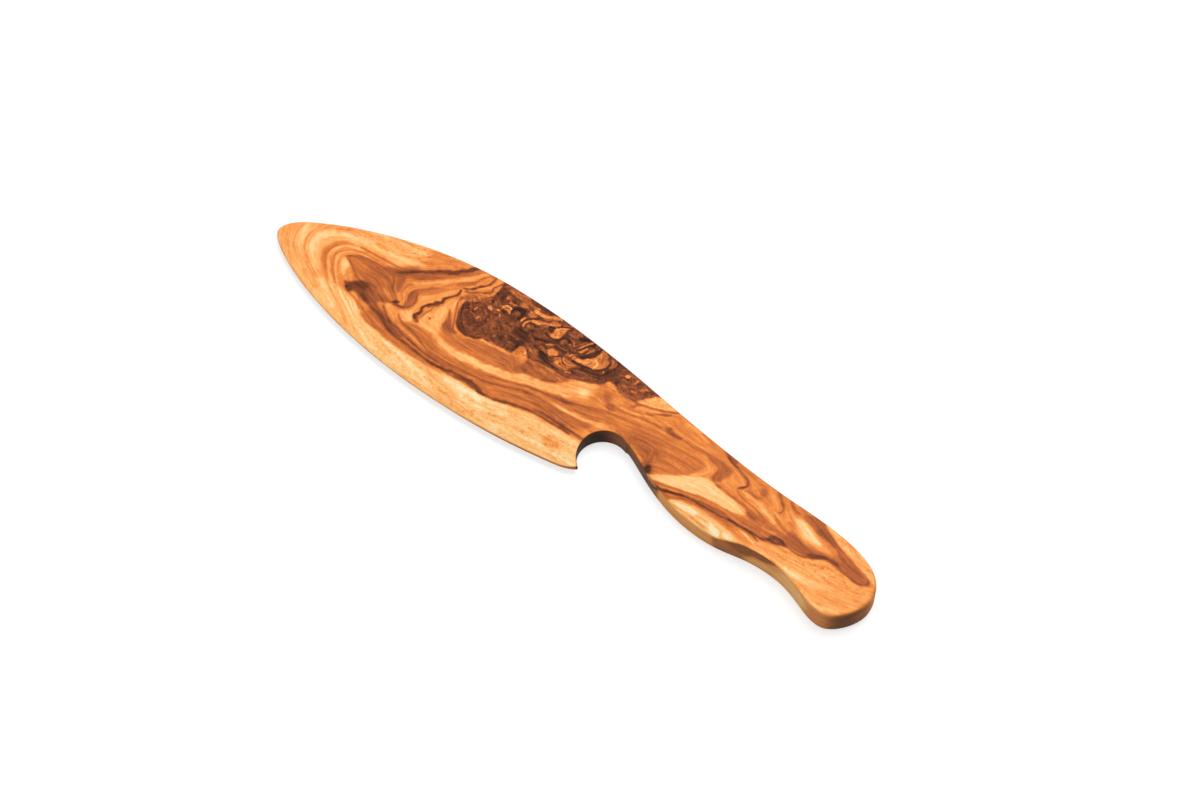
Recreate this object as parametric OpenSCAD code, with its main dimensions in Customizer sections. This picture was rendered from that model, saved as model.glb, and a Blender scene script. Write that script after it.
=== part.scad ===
// Butter knife carved from one board of olive wood.
// Lies flat on its side: +X from tip to butt, +Y towards the spine, +Z up, in millimetres.
// Origin: bottom centre of the knife's bounding box.

/* [Overall] */
// Tip to the centre of the finger notch
blade_length = 119.8; // [100:0.1:140]
// Centre of the finger notch to the butt
handle_length = 80.8; // [68:0.2:100]
// Thickness of the handle
board_thickness = 7.3; // [6:0.1:10]

/* [Blade] */
// Spine's crest above the tip line
spine_height = 24.9; // [18:0.1:32]
// Spine's crest to the notch centre
crest_to_notch = 52.5; // [35:0.5:60]
// Cutting edge's lowest point below the tip line
edge_depth = 15.7; // [13:0.1:24]
// Cutting edge's lowest point to the notch centre
edge_low_to_notch = 50.5; // [40:0.5:65]
// Tip above the tip line
tip_rise = 1.7; // [-2:0.1:4]
// How far the spine runs straight up from the tip
tip_spine_pull = 6.9; // [2:0.1:10]
// How far the edge runs straight down from the tip
tip_edge_pull = 4.2; // [1:0.1:8]
// How far the spine runs level in front of its crest
crest_front_pull = 36; // [20:0.5:50]
// How far the edge runs level in front of its lowest point
edge_front_pull = 42; // [20:0.5:45]
// Thickness of the neck and the blade's back
neck_thickness = 6; // [4:0.1:7.5]
// Thickness of the blade just behind the tip
tip_thickness = 2.6; // [1.6:0.1:5]
// Length over which the blade thins towards the tip
thinning_length = 90; // [50:1:105]
// Thickness of the cutting edge
edge_thickness = 0.9; // [0.5:0.1:1.5]
// Thickness of the edge where it reaches the heel
heel_thickness = 1; // [0.5:0.1:2.5]
// Width of the slope that falls away to the cutting edge
slope_width = 16; // [8:0.5:22]
// Length over which the point thins to the edge
point_length = 5; // [2:0.5:10]
// Share of the blade's thinning that is taken from its sole
sole_share = 0.25; // [0:0.05:0.5]
// Rounding of the spine's corners
spine_round = 0.9; // [0.3:0.1:2]

/* [Finger notch] */
// Radius of the notch
notch_radius = 7; // [5.5:0.1:9]
// Notch centre below the tip line
notch_depth = 3.5; // [2:0.1:5]
// Start of the heel's turn to the notch centre
heel_to_notch = 8.9; // [7:0.1:10.5]
// Start of the heel's turn below the tip line
heel_depth = 11.8; // [11:0.1:13]
// Direction of the edge as it reaches the heel, in degrees
heel_heading = 11; // [0:1:20]

/* [Handle] */
// Neck, where it leaves the notch, above the tip line
neck_rise = 3; // [1:0.1:3.5]
// Notch centre to the neck's start
neck_to_notch = 3.6; // [2:0.1:4.5]
// Direction of the neck as it leaves the notch, in degrees
neck_heading = -20; // [-35:1:-5]
// Belly below the tip line
belly_depth = 6.1; // [4:0.1:10]
// Notch centre to the belly
belly_to_notch = 34; // [28:0.5:38]
// Waist below the tip line
waist_depth = 3.8; // [1:0.1:6.5]
// Waist to the butt's end
waist_to_butt = 28.3; // [22:0.1:34]
// Butt's swell below the tip line
butt_depth = 8.4; // [5:0.1:11]
// Butt's swell to the butt's end
swell_to_butt = 7.4; // [5:0.1:11]
// Butt's end above the tip line
butt_rise = 1.5; // [-1:0.1:4]
// Handle's back above the tip line
back_height = 14.4; // [11:0.1:18]
// Handle's back to the butt's end
back_to_butt = 29.4; // [24:0.1:40]
// How far the upper face falls to the edge at the neck
neck_fall = 1.2; // [0:0.1:2]
// How far the upper face falls to the edge at the belly
belly_fall = 2.4; // [0:0.1:3]
// Rounding of the upper edge at the neck
neck_round = 0.5; // [0.3:0.1:2.5]
// Rounding of the upper edge at the belly
belly_round = 0.5; // [0.3:0.1:2]
// Rounding of the upper edge at the waist
waist_round = 0.4; // [0.3:0.1:2.5]
// Rounding of the upper edge at the butt and the back
butt_round = 0.7; // [0.3:0.1:2.5]
// Rounding of the upper edge at the butt's end
end_round = 1.6; // [0.3:0.1:2.5]
// Rounding of the lower edge all round the handle
sole_round = 0.5; // [0.3:0.1:2]

/* [Hidden] */
wood = [0.78, 0.50, 0.25];
eps = 0.01;
curve_steps = 24;
station_step = 2.6;
end_zone = 8;
end_steps = 9;
cut_over = 1;
hook_trim = 0.4;
hook_angle = 236;
hook_heading = 70;
probe = 0.2;
slope_power = 1.8;
round_rows = [0, 0.1, 0.35, 1];
face_rows = [0.05, 0.1, 0.16, 0.24, 0.4, 0.6, 0.8];

length = blade_length + handle_length;
heel_x = blade_length - heel_to_notch;
edge_low_x = blade_length - edge_low_to_notch;
crest_x = blade_length - crest_to_notch;
belly_x = blade_length + belly_to_notch;
waist_x = length - waist_to_butt;
swell_x = length - swell_to_butt;
back_x = length - back_to_butt;

tip_point = [0, tip_rise];
butt_point = [length, butt_rise];
crest = [crest_x, spine_height];
back = [back_x, back_height];
edge_low = [edge_low_x, -edge_depth];
heel = [heel_x, -heel_depth];
neck = [blade_length + neck_to_notch, neck_rise];
belly = [belly_x, -belly_depth];
waist = [waist_x, -waist_depth];
swell = [swell_x, -butt_depth];
notch = [blade_length, -notch_depth];
// the heel's hook ends inside the notch, and the cut trims it
hook = notch + (notch_radius - hook_trim) * dir(hook_angle);

function clamp01(v) = min(1, max(0, v));
function ease(v) = let(q = clamp01(v)) q * q * (3 - 2 * q);
function quarter(v) = sqrt(1 - pow(1 - clamp01(v), 2));
function dir(angle) = [cos(angle), sin(angle)];
function bezier(a, b, c, d, t) =
    pow(1 - t, 3) * a + 3 * pow(1 - t, 2) * t * b + 3 * (1 - t) * t * t * c + pow(t, 3) * d;
// a curve that leaves a along heading ha and reaches b along heading hb
function leg(a, ha, pa, b, hb, pb) = [
    for (i = [0 : curve_steps - 1])
        bezier(a, a + pa * dir(ha), b - pb * dir(hb), b, i / curve_steps)
];
function pull(a, b, share = 0.36) = share * norm(b - a);

spine_curve = concat(
    leg(tip_point, 90, tip_spine_pull, crest, 0, crest_front_pull),
    leg(crest, 0, pull(crest, back, 0.44), back, -1, pull(crest, back, 0.34)),
    leg(back, -1, pull(back, butt_point, 0.68), butt_point, -90, pull(back, butt_point, 0.24)),
    [butt_point]
);
lower_curve = concat(
    leg(tip_point, -90, tip_edge_pull, edge_low, 0, edge_front_pull),
    leg(edge_low, 0, pull(edge_low, heel), heel, heel_heading, pull(edge_low, heel)),
    leg(heel, heel_heading, pull(heel, hook, 0.35), hook, hook_heading, pull(heel, hook, 0.2)),
    leg(hook, hook_heading, pull(hook, neck, 0.3), neck, neck_heading, pull(hook, neck, 0.25)),
    leg(neck, neck_heading, pull(neck, belly, 0.2), belly, 0, pull(neck, belly, 0.46)),
    leg(belly, 0, pull(belly, waist, 0.42), waist, 0, pull(belly, waist, 0.42)),
    leg(waist, 0, pull(waist, swell, 0.5), swell, 0, pull(waist, swell, 0.28)),
    leg(swell, 0, pull(swell, butt_point, 0.24), butt_point, 90, pull(swell, butt_point, 0.24)),
    [butt_point]
);
all_y = [for (p = concat(spine_curve, lower_curve)) p[1]];
middle_y = (max(all_y) + min(all_y)) / 2;

function spine_y(x) = lookup(x, spine_curve);
function lower_y(x) = lookup(x, lower_curve);
// line of the cutting edge, carried on past the heel
function edge_y(x) = x < heel_x ? lower_y(x) : -heel_depth + (x - heel_x) * tan(heel_heading);
function slope_cos(a, b) = abs(b[0] - a[0]) / max(eps, norm(b - a));

middle_count = ceil((length - 2 * end_zone) / station_step);
stations = concat(
    [for (i = [1 : end_steps]) end_zone * pow(i / end_steps, 2)],
    [for (i = [1 : middle_count - 1]) end_zone + (length - 2 * end_zone) * i / middle_count],
    [for (i = [end_steps : -1 : 1]) length - end_zone * pow(i / end_steps, 2)]
);
count = len(stations);

// half the thickness of the cutting edge
function edge_half(x) =
    (edge_thickness + (heel_thickness - edge_thickness) * ease((x - edge_low_x) / (heel_x - edge_low_x))) / 2;
// half the thickness of the knife before its edges are rounded
function thinned(x) =
    (tip_thickness + (neck_thickness - tip_thickness) * ease(x / thinning_length)) / 2;
function handle_half(x) =
    (neck_thickness + (board_thickness - neck_thickness) * ease((x - notch[0]) / belly_to_notch)) / 2;
function half_at(x, y) =
    let(
        thin = edge_half(x),
        full = thin + (thinned(x) - thin) * quarter(x / point_length),
        width = min(slope_width, 0.75 * (spine_y(x) - lower_y(x))),
        q = clamp01((y - edge_y(x)) / max(eps, width)),
        blade = thin + (full - thin) * (1 - pow(1 - q, slope_power)),
        handle = ease((x - notch[0] + notch_radius / 2) / notch_radius)
    )
    blade + (handle_half(x) - blade) * handle;

// how far the upper face falls to the lower outline, at the outline and at a point near it
function edge_fall(x) = lookup(x, [
    [notch[0], 0],
    [neck[0], neck_fall],
    [belly_x - 0.55 * belly_to_notch, neck_fall],
    [belly_x - 0.3 * belly_to_notch, belly_fall],
    [belly_x + 0.12 * belly_to_notch, belly_fall],
    [belly_x + 0.33 * belly_to_notch, 0]
]);
function fall_at(x, y) =
    let(fall = edge_fall(x), q = clamp01((y - lower_y(x)) / max(eps, 3.6 * fall)))
    fall * pow(1 - q, 2);

function upper_round(x) = lookup(x, [
    [heel_x, 0.8 * edge_thickness / 2],
    [neck[0], neck_round],
    [belly_x, belly_round],
    [waist_x, waist_round],
    [swell_x, butt_round],
    [length, end_round]
]);
function back_round(x) = lookup(x, [
    [0, 0.8 * edge_thickness / 2],
    [2 * point_length, min(spine_round, 0.4 * tip_thickness)],
    [crest_x, spine_round],
    [back_x, butt_round],
    [length - end_zone / 2, butt_round],
    [length, end_round]
]);

// one station across the knife, from the lower outline to the spine: [x, y, share of rounding, radius]
function row(i) =
    let(
        x = stations[i],
        x0 = max(0, x - probe),
        x1 = min(length, x + probe),
        low = lower_y(x),
        high = spine_y(x),
        width = high - low,
        cl = slope_cos([x0, lower_y(x0)], [x1, lower_y(x1)]),
        ch = slope_cos([x0, spine_y(x0)], [x1, spine_y(x1)]),
        rl = upper_round(x),
        rh = back_round(x),
        sl = min(rl / max(0.05, cl), 0.4 * width),
        sh = min(rh / max(0.05, ch), 0.4 * width),
        span = width - sl - sh,
        end = min(x, length - x),
        s = concat(
            [for (q = round_rows) q * sl],
            [for (q = face_rows) sl + q * span],
            [for (k = [len(round_rows) - 1 : -1 : 0]) width - round_rows[k] * sh]
        )
    )
    [
        for (d = s)
            let(
                ql = min(d * cl, end) / rl,
                qh = min((width - d) * ch, end) / rh
            )
            [x, low + d, min(ql, qh), ql < qh ? rl : rh]
    ];
rows = [for (i = [0 : count - 1]) row(i)];
across = len(round_rows) * 2 + len(face_rows);

function sole_z(h) = sole_share * (board_thickness - 2 * h);
function top_point(p) =
    let(h = half_at(p[0], p[1]), r = min(p[3], 0.9 * h))
    [p[0], p[1], sole_z(h) + 2 * h - fall_at(p[0], p[1]) - r * (1 - quarter(p[2]))];
function sole_point(p) =
    let(h = half_at(p[0], p[1]), r = min(p[3], sole_round, 0.9 * h))
    [p[0], p[1], sole_z(h) + r * (1 - quarter(p[2] * p[3] / r))];
function end_point(p, r, s) =
    let(h = half_at(p[0], p[1]))
    [p[0], p[1], sole_z(h) + h + s * (h - min(r, 0.9 * h))];

// points: tip top, tip sole, butt top, butt sole, then every station's top row and sole row
skin_points = concat(
    [
        end_point(tip_point, back_round(0), 1),
        end_point(tip_point, back_round(0), -1),
        end_point(butt_point, end_round, 1),
        end_point(butt_point, min(end_round, sole_round), -1)
    ],
    [for (r = rows) for (p = r) top_point(p)],
    [for (r = rows) for (p = r) sole_point(p)]
);
function top_id(i, j) = 4 + i * across + j;
function sole_id(i, j) = 4 + (count + i) * across + j;
last = across - 1;
skin_faces = concat(
    [
        for (i = [0 : count - 2])
            for (j = [0 : last - 1])
                for (f = [
                    [top_id(i, j), top_id(i, j + 1), top_id(i + 1, j + 1)],
                    [top_id(i, j), top_id(i + 1, j + 1), top_id(i + 1, j)],
                    [sole_id(i, j), sole_id(i + 1, j + 1), sole_id(i, j + 1)],
                    [sole_id(i, j), sole_id(i + 1, j), sole_id(i + 1, j + 1)]
                ])
                    f
    ],
    [
        for (i = [0 : count - 2])
            for (f = [
                [top_id(i, 0), top_id(i + 1, 0), sole_id(i + 1, 0)],
                [top_id(i, 0), sole_id(i + 1, 0), sole_id(i, 0)],
                [top_id(i, last), sole_id(i + 1, last), top_id(i + 1, last)],
                [top_id(i, last), sole_id(i, last), sole_id(i + 1, last)]
            ])
                f
    ],
    [
        for (j = [0 : last - 1])
            for (f = [
                [0, top_id(0, j + 1), top_id(0, j)],
                [1, sole_id(0, j), sole_id(0, j + 1)],
                [2, top_id(count - 1, j), top_id(count - 1, j + 1)],
                [3, sole_id(count - 1, j + 1), sole_id(count - 1, j)]
            ])
                f
    ],
    [
        [0, top_id(0, 0), sole_id(0, 0)],
        [0, sole_id(0, 0), 1],
        [0, 1, sole_id(0, last)],
        [0, sole_id(0, last), top_id(0, last)],
        [2, sole_id(count - 1, 0), top_id(count - 1, 0)],
        [2, 3, sole_id(count - 1, 0)],
        [2, sole_id(count - 1, last), 3],
        [2, top_id(count - 1, last), sole_id(count - 1, last)]
    ]
);

module blank() {
    polyhedron(points = skin_points, faces = skin_faces, convexity = 6);
}

module finger_notch() {
    translate([notch[0], notch[1], -cut_over])
        cylinder(r = notch_radius, h = board_thickness + 2 * cut_over, $fn = 96);
}

module knife_body() {
    color(wood)
        translate([-length / 2, -middle_y, 0])
            difference() {
                blank();
                finger_notch();
            }
}

knife_body();
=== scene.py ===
import math
from collections import namedtuple

import bpy
import numpy as np
from bpy.props import FloatProperty, FloatVectorProperty, PointerProperty
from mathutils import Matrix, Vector
from mathutils.geometry import delaunay_2d_cdt
from mathutils.kdtree import KDTree


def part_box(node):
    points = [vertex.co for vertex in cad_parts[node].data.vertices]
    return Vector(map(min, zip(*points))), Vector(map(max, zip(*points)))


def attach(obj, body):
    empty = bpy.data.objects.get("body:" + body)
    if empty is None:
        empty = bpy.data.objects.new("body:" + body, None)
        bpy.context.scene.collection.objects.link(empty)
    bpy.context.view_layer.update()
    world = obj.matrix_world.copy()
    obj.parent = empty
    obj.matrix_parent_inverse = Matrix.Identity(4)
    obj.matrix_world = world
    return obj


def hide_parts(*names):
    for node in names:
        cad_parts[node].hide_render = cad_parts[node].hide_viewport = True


bl_info = {
    "name": "Olive Wood Butter Knife",
    "version": (1, 0, 0),
    "blender": (4, 5, 0),
    "location": "View3D > Sidebar > Knife",
    "description": "Carves a butter knife from one board of figured olive wood and sets it on a pale stage",
    "category": "Add Mesh",
}

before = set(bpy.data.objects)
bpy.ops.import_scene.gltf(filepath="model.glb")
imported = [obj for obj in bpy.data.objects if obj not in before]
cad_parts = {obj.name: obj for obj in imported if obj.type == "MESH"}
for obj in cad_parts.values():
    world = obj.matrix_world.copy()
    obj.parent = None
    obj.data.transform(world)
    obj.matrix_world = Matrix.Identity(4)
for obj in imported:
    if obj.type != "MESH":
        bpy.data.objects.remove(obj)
CAD_LOW, CAD_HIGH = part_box("knife_body")
MM = 0.001

# Wood figure, drawn in millimetres on the board's upper face: x along the knife, y up from the tip line.
# Tones run from 0, the darkest heartwood, to 1, the palest sapwood.
# Points are listed as x, y, x, y and so on. Each mark lies over the ones before it.
Mark = namedtuple("Mark", "closed tone half soft strength points taper steers")


def pairs(points):
    return np.reshape(np.asarray(points, float), (-1, 2))


def line(tone, half, points, soft=0.25, strength=1.0, taper=0.12):
    """A vein: its half width may change from end to end, and it tapers over a share of its length."""
    return Mark(False, tone, half, soft, strength, pairs(points), taper, True)


def area(tone, soft, points, strength=1.0, steers=False):
    """A patch with a soft edge; one that steers also turns the grain along its border."""
    return Mark(True, tone, 0, soft, strength, pairs(points), 0, steers)


TIP = [
    # sapwood of the tip and its rings
    area(0.735, 2.0, (-3, 1, 6, 9, 20, 17, 36, 23, 40, 17, 37, 11, 24, 10, 15, 4, 20, -3, 34, -8, 46, -18,
        20, -14, 4, -6)),
    area(0.64, 1.5, (8, 8.5, 13, 12.5, 19, 15, 18, 12, 13, 9.5, 10, 7.5), 0.8),
    area(0.67, 1.2, (0.5, 3, 3, 5.5, 5, 6.5, 4.6, 4, 5.2, 1.5, 8, -2, 12, -4.5, 9, -5, 4, -2.5), 0.6),
    line(0.8, 1.1, (6.6, 7.2, 6.4, 5, 6.8, 3, 8, 1, 9.6, -0.6, 12, -2.4), 0.9, 0.7),
    line(0.6, 0.22, (5, 6.8, 4.9, 5, 5.1, 3.4, 5.6, 1.8, 6.4, 0.3, 7.5, -1.1, 9, -2.2, 11, -3.3, 13.5, -4.4,
        17, -5.9), 0.3, 0.75),
    line(0.66, 0.15, (1.2, 3.5, 1.6, 2, 2.4, 0.5, 3.8, -1.2, 6, -3), 0.3, 0.6),
    line(0.86, (1.2, 0.8), (15, 9.9, 13, 8.2, 11.7, 6.4, 11.2, 4.5, 11.4, 2.8, 12.4, 1, 14, -0.8,
        16.5, -2.6, 19, -4.2), 0.8, 0.95),
    line(0.61, 0.25, (10, 8.9, 9.1, 7.2, 8.7, 5.4, 8.7, 3.8, 9.2, 2, 10, 0.6, 11.2, -0.9, 13, -2.2,
        15.5, -3.7, 18, -5, 21, -6.5, 24, -7.9, 28, -9.8), 0.3, 0.8),
    line(0.65, 0.15, (10.4, 7.6, 9.7, 5.8, 9.6, 4, 10, 2.3, 11, 0.7, 12.6, -0.9, 15, -2.4, 18, -4.2,
        21, -5.9, 25, -7.8), 0.25, 0.6),
    line(0.86, (0.7, 0.9), (13.5, 8.8, 16, 10.1, 19, 11, 22, 11.7, 26, 12.2, 30, 12.6, 34, 13.2,
        38, 14), 0.7, 0.9, 0.2),
    line(0.6, 0.35, (15.4, 5.4, 15.1, 3.7, 15.6, 2.1, 16.8, 0.4, 18.6, -1.4, 20.8, -3.2), 0.5, 0.6),
    line(0.52, 0.8, (21.5, 9.3, 19.2, 8.3, 17.5, 7, 16.6, 5.4, 16.3, 3.8, 16.6, 2.3, 17.6, 0.7, 19, -0.7,
        20.6, -2, 22, -3), 0.45, 0.95, 0.25),
    line(0.46, 0.22, (17.2, 6.6, 16.8, 4.8, 16.7, 3.3, 17.3, 1.7, 18.4, 0.3, 19.8, -1, 21.5, -2.4), 0.3, 0.7),
    line(0.57, (0.45, 0.3), (20.6, -2, 22.4, -3.5, 24.2, -5, 26, -6, 28, -7.3, 30, -8.8, 32, -10.2,
        34.5, -11.6, 37, -12.8), 0.35, 0.85),
    line(0.8, 0.4, (26, 9.4, 22.5, 8.7, 20, 7.6, 18.4, 6, 17.7, 4.6, 17.6, 3.2, 18.2, 1.8, 19.4, 0.3,
        21, -1.3, 23, -3, 25.5, -4.9), 0.3, 0.9),
    line(0.5, 0.2, (34, 8.7, 30, 8.8, 26, 8.6, 23, 7.9, 21, 6.9, 19.9, 5.5, 19.2, 4, 19.3, 2.6, 20.2, 1,
        21.5, -0.6, 23, -2.1, 25, -3.7, 27.5, -5.6, 30, -7.3), 0.25, 0.85),
    line(0.8, 0.3, (29, 8.3, 25, 7.9, 22.6, 7.1, 21.2, 6, 20.3, 4.6, 20.3, 2.9, 21.2, 1.2, 22.6, -0.5,
        24.2, -2.1, 26.5, -4.1, 29, -6.1, 32, -8.1, 36, -10.7), 0.25, 0.85),
    line(0.62, 0.15, (21.4, 5.2, 21, 3.8, 21.4, 2.4, 22.4, 0.8, 24, -1, 26, -3, 28.6, -5.2, 32, -7.5,
        36, -9.9), 0.22, 0.8),
    area(0.8, 0.7, (22, 4.2, 23.4, 4.4, 25, 3.4, 26.2, 1.6, 26, -0.5, 24.6, -0.6, 23, 1, 21.8, 3)),
    area(0.58, 0.8, (25.3, 2.7, 27.5, 1.9, 29.6, 0.5, 29.6, -0.8, 27.6, -1.9, 26, -0.4, 25.2, 1)),
    line(0.72, 0.35, (26.8, 0.7, 28, 0, 29, -0.8), 0.5, 0.6),
    line(0.45, 0.15, (25, 2.4, 25.6, 0.6, 26.6, -0.8), 0.4, 0.6),
    # sapwood on the spine side
    line(0.6, 0.4, (25, 13.4, 29, 13.3, 33, 13.8, 36, 14.8), 0.5, 0.5),
    line(0.58, 0.35, (26, 17, 29, 17.6, 32, 18.2, 36, 19.2), 0.5, 0.6),
    line(0.8, 0.5, (22, 15.6, 26, 16.4, 31, 17), 0.6, 0.5),
    line(0.82, 0.5, (31, 17.2, 36, 17.6, 41, 19), 0.8, 0.5),
    # fine rings outside the first bands
    line(0.6, 0.16, (5.2, 7, 5, 4.6, 5.4, 2.4, 6.6, 0.2, 8.6, -1.8, 12, -3.8, 16, -5.8, 21, -8.2,
        26, -10.2), 0.2, 0.8),
    line(0.6, 0.15, (8.6, 8.2, 8.3, 5.6, 8.7, 3, 10, 0.8, 12, -0.9, 15, -2.8, 19, -4.8, 24, -7,
        30, -9.4), 0.2, 0.8),
    line(0.62, 0.14, (9.9, 8.6, 9.5, 5.8, 10.1, 3, 11.4, 0.9, 13.6, -0.9, 17, -2.8, 21, -4.6), 0.2, 0.75),
]

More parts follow.
